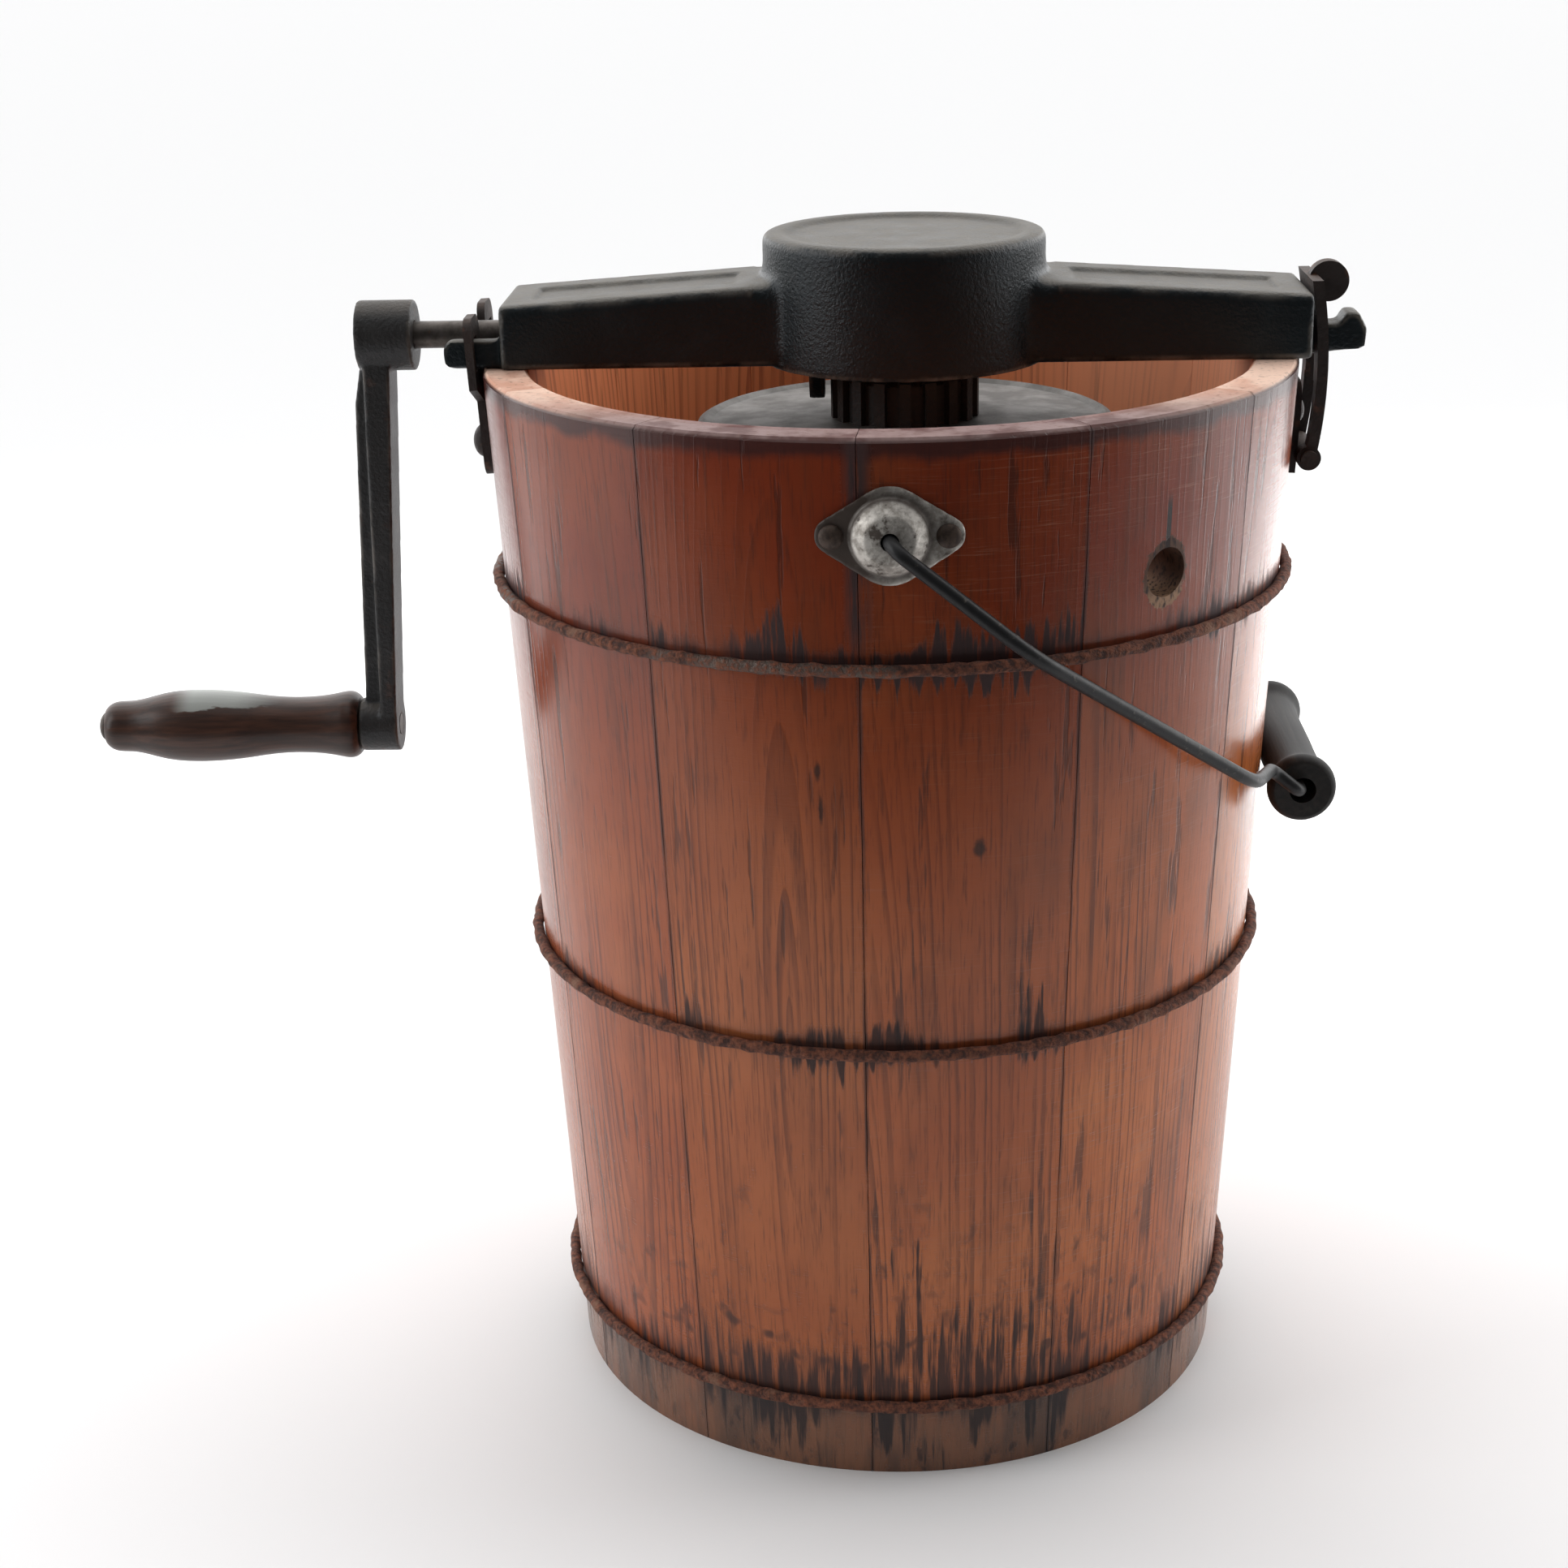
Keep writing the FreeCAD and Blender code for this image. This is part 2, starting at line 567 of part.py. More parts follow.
drum = body("gear_frame_drum")
BASE = "(tub_height - housing_drop)"
ROOF = "(%s - dish_depth - beam_wall)" % TOP
drum_turn = turned(drum, [
    ("0", BASE), ("housing_radius", BASE), ("housing_radius", BASE + " + 5"),
    ("housing_radius - 0.4", TOP), ("dish_radius", TOP), ("dish_radius - 2", TOP + " - dish_depth"),
    ("0", TOP + " - dish_depth"),
])
crown = lambda edge: (abs(edge.BoundBox.ZMin - size(TOP)) < 0.01
                      and edge.BoundBox.XLength > 2 * size("dish_radius") + 1)
rounded(drum, drum_turn, "housing_round", crown)
place(drum, ("drive_shift", "0", "0"))
cavity = rod(("drive_shift", "0", BASE + " - 1"), "+Z", "housing_radius - housing_wall",
             "%s - %s + 1" % (ROOF, BASE))

web = body("bearing_web")
padded(web, "YZ_Plane", [
    ("-web_half", ROOF + " + 1"), ("web_half", ROOF + " + 1"), ("web_half", BASE), ("14", BASE),
    ("7", BASE + " - web_drop + 3"), ("4", BASE + " - web_drop"),
    ("-4", BASE + " - web_drop"), ("-7", BASE + " - web_drop + 3"), ("-14", BASE), ("-web_half", BASE),
], "web_thickness")
place(web, ("drive_shift - web_near - web_thickness / 2", "0", "0"))
boss = rod(("drive_shift", "0", ROOF + " - boss_drop"), "+Z", "roof_boss", "boss_drop + 1")
boss_bore = rod(("drive_shift", "0", ROOF + " - boss_drop - 1"), "+Z",
                "roof_journal + shaft_play", "boss_drop + 1")

nose = body("latch_nose")
padded(nose, "XZ_Plane", [
    ("beam_right - 4", RIM + " + 0.5"), ("beam_right + 1", RIM + " + 0.5"),
    ("beam_right + 1.6", RIM + " - 2"), ("nose_reach - 1", RIM), ("nose_reach", RIM + " + 7"),
    ("nose_reach - 3.5", RIM + " + nose_top"), ("nose_reach - 8", RIM + " + nose_top"),
    ("nose_reach - 10", RIM + " + nose_notch"), ("beam_right + 5", RIM + " + nose_notch"),
    ("beam_right + 0.6", RIM + " + 13"), ("beam_right - 4", RIM + " + 13"),
], "nose_width")

lugs = []
for way in (-1, 1):
    lug = body("hinge_lug")
    pad = padded(lug, "XZ_Plane", [
        (LEFT + " + 3", RIM), (LEFT + " + 3", RIM + " + lug_rise"),
        ("-lug_reach", RIM + " + lug_rise"), ("-lug_reach", RIM),
    ], "lug_width")
    tip = lambda edge: straight_along(edge, Y) and edge.CenterOfMass.x < 2 - size("lug_reach")
    rounded(lug, pad, "4", tip)
    lugs.append(place(lug, ("0", "%d * lug_centre" % way, "0")))
ledge = block((LEFT + " - 8", "-lug_centre - lug_width / 2", RIM),
              (LEFT + " + 3", "lug_centre + lug_width / 2", RIM + " + 6"))
saddle = rod((LEFT + " - 20", "0", SHAFT_Z), "+X", "shaft_radius + 2.4", "19.9")
shaft_hole = rod((LEFT + " - 20", "0", SHAFT_Z), "+X", "shaft_radius + shaft_play",
                 "beam_left + 20 + drive_shift - 20")
casting = fuse(cut(fuse(arms, drum), cavity), web, boss, nose, cut(fuse(ledge, *lugs), saddle))
keep("gear_frame", cut(casting, shaft_hole, boss_bore))

# Hinge strap: a forked plate that lies up the wall and takes the two lugs.
lean = math.degrees(math.atan(size(FLARE)))
strap = body("hinge_strap")
strap_pad = padded(strap, "YZ_Plane", [
    ("-strap_tab", "-strap_down"), ("strap_tab", "-strap_down"), ("strap_tab", "-14"),
    ("strap_half_width", "-7"), ("strap_half_width", "strap_up"), ("strap_fork", "strap_up"),
    ("strap_fork", "1"), ("-strap_fork", "1"), ("-strap_fork", "strap_up"),
    ("-strap_half_width", "strap_up"), ("-strap_half_width", "-7"), ("-strap_tab", "-14"),
], "strap_thickness")
ends = lambda edge: straight_along(edge, X) and (
    edge.CenterOfMass.z > size("strap_up") - 1 or edge.CenterOfMass.z < 1 - size("strap_down"))
rounded(strap, strap_pad, "strap_round", ends)
for way in (-1, 1):
    near = "lug_centre - lug_width / 2 - strap_slot_play"
    far = "lug_centre + lug_width / 2 + strap_slot_play"
    padded(strap, "YZ_Plane", [
        ("%d * (%s)" % (way, near), "-strap_slot_play"),
        ("%d * (%s)" % (way, far), "-strap_slot_play"),
        ("%d * (%s)" % (way, far), "lug_rise + 1"), ("%d * (%s)" % (way, near), "lug_rise + 1"),
    ], "strap_thickness + 4", cutting=True)
place(strap, ("-tub_top_radius - strap_thickness / 2 - strap_play", "0", "tub_height"))
strap.Placement.Rotation = FreeCAD.Rotation(Y, -lean)
strap_hole = rod(("-tub_top_radius - 20", "0", "tub_height - strap_screw_drop"), "+X", "2.5", "30")
keep("hinge_strap", cut(strap, strap_hole))
strap_screw_x = "-(%s + strap_thickness + screw_seat)" % wall_radius("tub_height - strap_screw_drop")
keep("hinge_screw", dome_screw((strap_screw_x, "0", "tub_height - strap_screw_drop"), "-X",
                               "6.4", "4.4", "2.3", "15"))

# Latch: a bracket on the wall, a pin, and a bowed loop with a thumb disc.
PIVOT_X = "(%s + bracket_thickness + latch_eye - latch_set)" % wall_radius("latch_pivot_height")
bracket_plate = body("latch_bracket_plate")
plate_pad = padded(bracket_plate, "YZ_Plane", [
    ("-bracket_half_width", "bracket_low - tub_height"),
    ("bracket_half_width", "bracket_low - tub_height"),
    ("bracket_half_width", "bracket_high - tub_height"),
    ("-bracket_half_width", "bracket_high - tub_height"),
], "bracket_thickness")
high_corner = lambda edge: straight_along(edge, X) and (
    edge.CenterOfMass.z > size("bracket_high - tub_height") - 1)
rounded(bracket_plate, plate_pad, "bracket_round", high_corner)
place(bracket_plate, ("tub_top_radius + bracket_thickness / 2 + strap_play", "0", "tub_height"))
bracket_plate.Placement.Rotation = FreeCAD.Rotation(Y, lean)
knuckle = rod((PIVOT_X, "-bracket_half_width", "latch_pivot_height"), "+Y",
              "latch_eye", "2 * bracket_half_width")
pin_bore = rod((PIVOT_X, "-bracket_half_width - 1", "latch_pivot_height"), "+Y",
               "latch_pin_radius + press_play", "2 * bracket_half_width + 2")
bracket_hole = rod(("tub_top_radius - 10", "0", "tub_height - bracket_screw_drop"), "+X", "2.5", "20")
keep("latch_bracket", cut(fuse(bracket_plate, knuckle), pin_bore, bracket_hole))
latch_screw_x = "%s + bracket_thickness + 0.4" % wall_radius("tub_height - bracket_screw_drop")
keep("latch_screw", dome_screw((latch_screw_x, "0", "tub_height - bracket_screw_drop"), "+X",
                               "4.6", "2.6", "2.3", "14"))
pin_rod = rod((PIVOT_X, "-latch_half_width - latch_pin_overhang", "latch_pivot_height"), "+Y",
              "latch_pin_radius", "2 * latch_half_width + 2 * latch_pin_overhang")
pin_heads = [rod((PIVOT_X, start, "latch_pivot_height"), "+Y", "latch_pin_radius * 1.45", "latch_pin_head")
             for start in ("-latch_half_width - latch_pin_overhang", "latch_half_width + latch_pin_overhang - latch_pin_head")]
keep("latch_pin", fuse(pin_rod, *pin_heads))

BOW_Z = "(latch_pivot_height / 2 + latch_top / 2)"
BOW_SAG = "(latch_bow - sqrt(pow(latch_bow; 2) - pow((latch_top - latch_pivot_height) / 2; 2)))"
BOW_X = "(%s + latch_set / 2 + %s - latch_bow)" % (PIVOT_X, BOW_SAG)
span = "2 * latch_half_width"
bow_outer = rod((BOW_X, "-latch_half_width", BOW_Z), "+Y", "latch_bow + latch_thickness / 2", span)
bow_inner = rod((BOW_X, "-latch_half_width", BOW_Z), "+Y", "latch_bow - latch_thickness / 2", span)
bow_limit = block(("beam_right - 20", "-latch_half_width", "latch_pivot_height"),
                  ("beam_right + 30", "latch_half_width", "latch_top"))
bow = common(cut(bow_outer, bow_inner), bow_limit)
window = block(("beam_right - 20", "-latch_window", "latch_pivot_height + latch_foot"),
               ("beam_right + 30", "latch_window", "latch_crossbar"))
clear_width = "bracket_half_width + latch_play"
gap_box = block(("beam_right - 20", "-bracket_half_width - latch_play", "latch_pivot_height - latch_foot"),
                ("beam_right + 30", clear_width, "bracket_high + 1"))
eyes = [rod((PIVOT_X, start, "latch_pivot_height"), "+Y", "latch_eye",
            "latch_half_width - bracket_half_width - latch_play")
        for start in ("-latch_half_width", clear_width)]
eye_bore = rod((PIVOT_X, "-latch_half_width - 1", "latch_pivot_height"), "+Y",
               "latch_pin_radius + shaft_play", span + " + 2")
thumb = rod((BOW_X + " + latch_bow + thumb_out", "-thumb_width / 2", "tub_height + thumb_rise"),
            "+Y", "thumb_radius", "thumb_width")
thumb_limit = block((BOW_X + " + latch_bow - latch_thickness", "-thumb_width", "tub_height"),
                    (BOW_X + " + latch_bow + 4 * thumb_radius", "thumb_width",
                     "tub_height + thumb_rise + 2 * thumb_radius"))
keep("latch_loop", cut(fuse(cut(bow, window, gap_box), common(thumb, thumb_limit), *eyes), eye_bore))


# Bevel gears: straight tapered teeth that run to one apex on the drive axis.
def bevel_teeth(count, pitch_radius, mate_radius, phase):
    """Teeth about +Z with the apex at the origin and the heel at positive Z."""
    cone = math.hypot(pitch_radius, mate_radius)
    out, up = pitch_radius / cone, mate_radius / cone
    module = 2 * pitch_radius / count
    small = (cone - size("gear_face")) / cone
    rise, fall = 0.75 * module, 1.1 * module + 0.8
    pitch_half = 0.19 * math.pi * module
    teeth = []
    for index in range(count):
        turn = FreeCAD.Rotation(Z, math.degrees(phase) + 360.0 * index / count)
        rings = []
        for scale in (1.0, small):
            ring = []
            for level, side in ((-fall, -1), (-fall, 1), (rise, 1), (rise, -1)):
                wide = side * (pitch_half - level * math.tan(math.radians(22)))
                spot = FreeCAD.Vector(pitch_radius + level * up, wide, mate_radius - level * out)
                ring.append(turn.multVec(spot * scale))
            rings.append(Part.makePolygon(ring + ring[:1]))
        teeth.append(Part.makeLoft(rings, True, True))
    return teeth


def bevel_blank(pitch_radius, mate_radius, count, bore, back):
    """Root cone of a bevel gear about +Z, with a flat back at the given height."""
    cone = math.hypot(pitch_radius, mate_radius)
    out, up = pitch_radius / cone, mate_radius / cone
    module = 2 * pitch_radius / count
    fall = 1.1 * module
    small = (cone - size("gear_face")) / cone
    heel = (pitch_radius - fall * up, mate_radius + fall * out)
    toe = (heel[0] * small, heel[1] * small)
    corners = [(bore, toe[1]), toe, heel, (heel[0], back), (bore, back)]
    spots = [FreeCAD.Vector(radius, 0, height) for radius, height in corners]
    return Part.Face(Part.makePolygon(spots + spots[:1])).revolve(ORIGIN, Z, 360)


gear_r, pinion_r = size("gear_radius"), size("pinion_radius")
gear_count, pinion_count = int(size("gear_teeth")), int(size("pinion_teeth"))
play = size("shaft_play")
apex = FreeCAD.Vector(size("drive_shift"), 0, size(SHAFT_Z))
half_step = math.pi / gear_count

# Upper gear, heel up, with a journal for the roof boss and a square socket.
upper_back = size(ROOF + " - boss_drop - gear_roof_gap") - apex.z
upper = bevel_blank(gear_r, pinion_r, gear_count, 0, upper_back)
upper = upper.fuse(bevel_teeth(gear_count, gear_r, pinion_r, math.pi + half_step))
journal = Part.makeCylinder(size("roof_journal"), size("boss_drop + gear_roof_gap / 3"), FreeCAD.Vector(0, 0, upper_back))
square = size("stem_square + square_play")
socket_top = upper_back - 3
socket = Part.makeBox(square, square, socket_top, FreeCAD.Vector(-square / 2, -square / 2, 0))
upper = upper.fuse(journal).cut(socket).removeSplitter()
dasher_gear = feature_of("dasher_gear", upper)
dasher_gear.Placement = FreeCAD.Placement(apex, FreeCAD.Rotation())
keep("dasher_gear", dasher_gear)

# Lower gear, heel down, whose teeth run on down its side as flutes to the lid.
lower_back = apex.z - size("lid_rise")
lower = bevel_blank(gear_r, pinion_r, gear_count, size("stem_radius") + play, lower_back)
lower = lower.fuse(bevel_teeth(gear_count, gear_r, pinion_r, math.pi + half_step))
flute_top = pinion_r + 1.2
column = Part.makeCylinder(size("flute_root"), lower_back - flute_top - 1.5,
                           FreeCAD.Vector(0, 0, flute_top + 1.5))
column = column.cut(Part.makeCylinder(size("stem_radius") + play, 80, FreeCAD.Vector(0, 0, -10)))
rib_depth = gear_r + 1 - size("flute_root") + 2
flutes = []
for index in range(gear_count):
    flute = Part.makeBox(rib_depth, 4.2, lower_back - flute_top,
                         FreeCAD.Vector(size("flute_root") - 2, -2.1, flute_top))
    flute.rotate(ORIGIN, Z, 180 + math.degrees(half_step) + 360.0 * index / gear_count)
    flutes.append(flute)
lower = lower.fuse([column] + flutes).removeSplitter()
lid_gear = feature_of("lid_gear", lower)
lid_gear.Placement = FreeCAD.Placement(apex, FreeCAD.Rotation(X, 180))
keep("lid_gear", lid_gear)

# Pinion on the crank shaft, heel toward the crank.
pinion_back = size("web_near - gear_roof_gap")
pinion = bevel_blank(pinion_r, gear_r, pinion_count, size("shaft_radius + press_play"), pinion_back)
pinion = pinion.fuse(bevel_teeth(pinion_count, pinion_r, gear_r, 0)).removeSplitter()
bore_clear = Part.makeCylinder(size("shaft_radius + press_play"), 80, FreeCAD.Vector(0, 0, -10))
pinion_part = feature_of("pinion", pinion.cut(bore_clear))
pinion_part.Placement = FreeCAD.Placement(apex, FreeCAD.Rotation(Y, -90))
keep("pinion", pinion_part)

toe_reach = "gear_radius * (1 - gear_face / sqrt(pow(gear_radius; 2) + pow(pinion_radius; 2)))"
keep("crank_shaft", rod(("-hub_outer", "0", SHAFT_Z), "+X", "shaft_radius",
                        "hub_outer + drive_shift - %s" % toe_reach))

# Crank: hub, flat arm with an outer rib, and a boss that holds the spindle.
HANDLE_Z = "(%s - crank_throw)" % SHAFT_Z
arm = body("crank_plate")
padded(arm, "XZ_Plane", [
    ("-hub_inner - 9", SHAFT_Z + " - 4"), ("-hub_outer + 2", SHAFT_Z + " - 4"),
    ("-boss_inner - 6.5", HANDLE_Z + " + 3"), ("-boss_inner - 0.4", HANDLE_Z + " + 3"),
], "arm_width")
rib = body("crank_rib")
padded(rib, "XZ_Plane", [
    ("-hub_inner - 14", SHAFT_Z + " - 6"), ("-hub_outer - 0.5", SHAFT_Z + " - 12"),
    ("-hub_outer - 3.2", SHAFT_Z + " - 26"), ("-boss_outer + 2.4", HANDLE_Z + " + 8"),
    ("-boss_inner - 3", HANDLE_Z + " + 3"),
], "rib_width")
hub = rod(("-hub_outer", "0", SHAFT_Z), "+X", "hub_radius", "hub_outer - hub_inner")
arm_boss = rod(("-boss_outer", "0", HANDLE_Z), "+X", "boss_radius", "boss_outer - boss_inner")
hub_bore = rod(("-hub_outer - 20", "0", SHAFT_Z), "+X", "shaft_radius + press_play", "60")
boss_hole = rod(("-boss_outer - 1", "0", HANDLE_Z), "+X", "spindle_radius + press_play", "40")
keep("crank_arm", cut(fuse(arm, rib, hub, arm_boss), hub_bore, boss_hole))

HANDLE_START = "(-boss_outer - handle_gap - handle_length)"
spindle_length = "boss_outer - boss_inner + handle_length + 2 * handle_gap + 0.3"
spindle = rod(("-boss_inner", "0", HANDLE_Z), "-X", "spindle_radius", spindle_length)
spindle_cap = primitive("Ellipsoid", ("-boss_inner - (%s)" % spindle_length, "0", HANDLE_Z), "-X",
                        Radius1="2.6", Radius2="spindle_head", Angle1="0", Angle2="90")
keep("handle_spindle", fuse(spindle, spindle_cap))
handle_line = [(0, 7.6), (2.4, 9.4), (9.2, 10.2), (22.5, 13), (39, 14.35), (55.2, 13.2),
               (68.2, 11.5), (81.3, 11.2), (93, 12.6), (99.5, 13), (102, 11)]
stretch = size("handle_length") / handle_line[-1][0]
handle_shape = spun([(along * stretch, radius) for along, radius in handle_line],
                    size("spindle_radius") + play)
handle = feature_of("crank_handle", handle_shape)
handle.Placement = FreeCAD.Placement(
    FreeCAD.Vector(size(HANDLE_START), 0, size(HANDLE_Z)), FreeCAD.Rotation())
keep("crank_handle", handle)

# Can, its centre pin and its lid, on the drive axis.
can = body("can_body")
turned(can, [
    ("0", "can_low"), ("can_radius", "can_low"), ("can_radius", "can_high - 1"),
    ("can_radius - can_wall", "can_high - 1"),
    ("can_radius - can_wall", "can_low + can_floor"), ("0", "can_low + can_floor"),
])
keep("can_body", place(can, ("drive_shift", "0", "0")))
PIN_CENTRE = "(%s + socket_plate + pivot_play + pivot_radius)" % FLOOR
point = primitive("Sphere", ("drive_shift", "0", PIN_CENTRE), Radius="pivot_radius",
                  Angle1="-90", Angle2="0")
post = rod(("drive_shift", "0", PIN_CENTRE), "+Z", "pivot_radius", "can_low - " + PIN_CENTRE)
collar = rod(("drive_shift", "0", "can_low - 2"), "+Z", "pivot_collar", "2")
keep("can_pivot", fuse(point, post, collar))
lid = body("can_lid")
lid_turn = turned(lid, [
    ("stem_radius + 0.4", "lid_rise"), ("stem_radius + 0.4", "can_high"),
    ("can_radius + 0.1", "can_high - 1"), ("can_radius + 0.1", "can_high - lid_skirt"),
    ("lid_radius", "can_high - lid_skirt"), ("lid_radius", "lid_rise - 1.6"),
    ("lid_radius - 2.4", "lid_rise - 0.4"), ("lid_radius - 5", "lid_rise - 1.8"),
    ("gear_radius + 8", "lid_rise"),
])
keep("can_lid", place(lid, ("drive_shift", "0", "0")))

# Dasher: a stem that squares off into the upper gear, with wooden scrapers.
stem = rod(("drive_shift", "0", "can_low + 9"), "+Z", "stem_radius", "%s - 8 - can_low - 9" % SHAFT_Z)
square_top = block(("drive_shift - stem_square / 2", "-stem_square / 2", SHAFT_Z + " - 9"),
                   ("drive_shift + stem_square / 2", "stem_square / 2", SHAFT_Z + " + 12"))
EDGE = "(can_radius - can_wall - scraper_gap - scraper_width)"
bars = []
for low in ("can_low + paddle_low", "can_high - paddle_high - paddle_bar * 0.8"):
    bars.append(block(("drive_shift - (%s)" % EDGE, "-paddle_bar / 2", low),
                      ("drive_shift + " + EDGE, "paddle_bar / 2", low + " + paddle_bar * 0.8")))
for way in (-1, 1):
    for spot in (EDGE + " - paddle_post / 2", "can_radius * 0.4"):
        centre = "drive_shift + %d * (%s)" % (way, spot)
        bars.append(block((centre + " - paddle_post / 2", "-paddle_bar / 2", "can_low + paddle_low"),
                          (centre + " + paddle_post / 2", "paddle_bar / 2", "can_high - paddle_high")))
keep("dasher", fuse(stem, square_top, *bars))
for name, way in (("left_scraper", -1), ("right_scraper", 1)):
    near = "drive_shift + %d * %s" % (way, EDGE)
    far = "drive_shift + %d * (%s + scraper_width)" % (way, EDGE)
    low_x, high_x = (near, far) if way > 0 else (far, near)
    keep(name, block((low_x, "-scraper_thickness / 2", "can_low + paddle_low + scraper_end"),
                     (high_x, "scraper_thickness / 2", "can_high - paddle_high - 2 * scraper_end")))

document.recompute()
for thing in document.Objects:
    if "Invalid" in thing.State or "Error" in thing.State:
        raise RuntimeError("not built: " + thing.Label)
os.makedirs("parts", exist_ok=True)
for name, thing in subparts.items():
    shape = thing.Shape
    if shape.isNull() or not shape.isValid():
        raise RuntimeError("bad shape: " + name)
    shape.exportStep("parts/%s.step" % name)
    box = shape.BoundBox
    print("%-18s solids %d  volume %.0f  x %.1f %.1f  y %.1f %.1f  z %.1f %.1f" % (
        name, len(shape.Solids), shape.Volume, box.XMin, box.XMax, box.YMin, box.YMax,
        box.ZMin, box.ZMax))
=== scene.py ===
# %% [markdown]
# # A hand-crank ice cream maker
# The CAD model already has every piece in its true place, so Blender's work is the looks: old varnished
# staves, rusted hoops, black sand-cast iron, tin plate and turned wooden grips. A few pieces are too
# crisp or too plain in CAD, and softer copies stand in for those. The lesson starts by loading the model.

# %% Load the frame
import bpy
import json
import math
from mathutils import Matrix, Vector

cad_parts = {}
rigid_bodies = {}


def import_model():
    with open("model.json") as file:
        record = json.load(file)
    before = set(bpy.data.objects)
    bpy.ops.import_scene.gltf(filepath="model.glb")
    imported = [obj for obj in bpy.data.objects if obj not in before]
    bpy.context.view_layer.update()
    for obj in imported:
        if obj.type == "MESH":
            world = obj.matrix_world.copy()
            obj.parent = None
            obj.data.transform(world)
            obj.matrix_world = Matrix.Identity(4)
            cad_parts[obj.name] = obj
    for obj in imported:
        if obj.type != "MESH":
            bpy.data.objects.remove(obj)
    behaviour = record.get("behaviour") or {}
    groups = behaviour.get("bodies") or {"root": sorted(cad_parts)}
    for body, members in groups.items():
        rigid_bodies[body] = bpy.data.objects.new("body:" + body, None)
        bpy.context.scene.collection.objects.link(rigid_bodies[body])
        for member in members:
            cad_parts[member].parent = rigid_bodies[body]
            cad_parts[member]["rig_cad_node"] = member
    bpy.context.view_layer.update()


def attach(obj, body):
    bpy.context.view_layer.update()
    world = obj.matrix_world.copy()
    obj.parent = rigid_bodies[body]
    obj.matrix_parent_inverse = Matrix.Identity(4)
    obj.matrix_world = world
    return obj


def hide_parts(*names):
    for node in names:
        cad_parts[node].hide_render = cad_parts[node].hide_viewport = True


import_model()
MM = 0.001

# %% [markdown]
# ## The camera
# The photograph was taken from a little above the rim and looks slightly down and to the left.
# A camera fitted to the rim, base and hoop curves gives its place, turn and focal length.

# %% Place the camera
CAMERA_PLACE = (0.0, -0.99356, 0.58810)
CAMERA_YAW, CAMERA_PITCH, CAMERA_ROLL = -0.0433, 0.3436, -0.0227
FOCAL_PIXELS, FRAME_PIXELS, SENSOR = 3254.79, 1932.0, 36.0

look = Vector((math.sin(CAMERA_YAW) * math.cos(CAMERA_PITCH),
               math.cos(CAMERA_YAW) * math.cos(CAMERA_PITCH), -math.sin(CAMERA_PITCH)))
level = Vector((math.cos(CAMERA_YAW), -math.sin(CAMERA_YAW), 0.0))
above = level.cross(look)
right = level * math.cos(CAMERA_ROLL) + above * math.sin(CAMERA_ROLL)
upward = above * math.cos(CAMERA_ROLL) - level * math.sin(CAMERA_ROLL)
turn = Matrix((right, upward, -look)).transposed()

camera_data = bpy.data.cameras.new("photo_camera")
camera_data.sensor_width = SENSOR
camera_data.lens = FOCAL_PIXELS / FRAME_PIXELS * SENSOR
camera = bpy.data.objects.new("photo_camera", camera_data)
camera.matrix_world = Matrix.Translation(CAMERA_PLACE) @ turn.to_4x4()
bpy.context.scene.collection.objects.link(camera)
bpy.context.scene.camera = camera
print("lens", round(camera_data.lens, 2), "mm")

# %% [markdown]
# ## Small tools for arithmetic
# Every finish is a net of texture nodes. In the shader editor each sum is a Math node wired by
# hand. These helpers add one node, or a short chain of them, and hand back its output, so a recipe
# reads from top to bottom: where am I, what pattern is here, what colour is it.

# %% Arithmetic nodes


def feed(tree, socket, value):
    """Connect an output, or set a plain value, on an input socket."""
    if isinstance(value, bpy.types.NodeSocket):
        tree.links.new(value, socket)
    else:
        socket.default_value = value


def arithmetic(tree, operation, first, second=0.0, third=0.0):
    """One Math node."""
    node = tree.nodes.new("ShaderNodeMath")
    node.operation = operation
    for socket, value in zip(node.inputs, (first, second, third)):
        feed(tree, socket, value)
    return node.outputs[0]


def plus(tree, first, second):
    return arithmetic(tree, "ADD", first, second)


def minus(tree, first, second):
    return arithmetic(tree, "SUBTRACT", first, second)


def times(tree, first, *others):
    """The product of two or more values."""
    for other in others:
        first = arithmetic(tree, "MULTIPLY", first, other)
    return first


def scaled(tree, value, factor, offset):
    """A value times a factor, plus an offset."""
    return arithmetic(tree, "MULTIPLY_ADD", value, factor, offset)


def larger(tree, first, second):
    return arithmetic(tree, "MAXIMUM", first, second)


def unsigned(tree, value):
    return arithmetic(tree, "ABSOLUTE", value)


def distance(tree, first, second):
    """The length of a step with two parts at right angles."""
    squares = plus(tree, arithmetic(tree, "POWER", first, 2.0), arithmetic(tree, "POWER", second, 2.0))
    return arithmetic(tree, "SQRT", squares)


print("arithmetic helpers ready")

# %% [markdown]
# ## Small tools for patterns and colours
# A worn surface is mostly soft random patches that are cut off at a threshold and then painted in
# a colour. Places are read in object coordinates, in metres, so a pattern keeps its true size and
# stays with its piece when a joint moves. Where a value below is a pair, such as two heights, a
# mask is 0 at the first and 1 at the second.

# %% Pattern nodes


def new_finish(name):
    """A node material, its tree and its shader."""
    finish = bpy.data.materials.new(name)
    finish.use_nodes = True
    return finish, finish.node_tree, finish.node_tree.nodes["Principled BSDF"]


def parts_of(tree, vector):
    """The three parts of a vector."""
    node = tree.nodes.new("ShaderNodeSeparateXYZ")
    tree.links.new(vector, node.inputs[0])
    return node.outputs[0], node.outputs[1], node.outputs[2]


def place_xyz(tree):
    """The point on the piece, in metres, and its three parts."""
    spot = tree.nodes.new("ShaderNodeTexCoord").outputs["Object"]
    return spot, *parts_of(tree, spot)


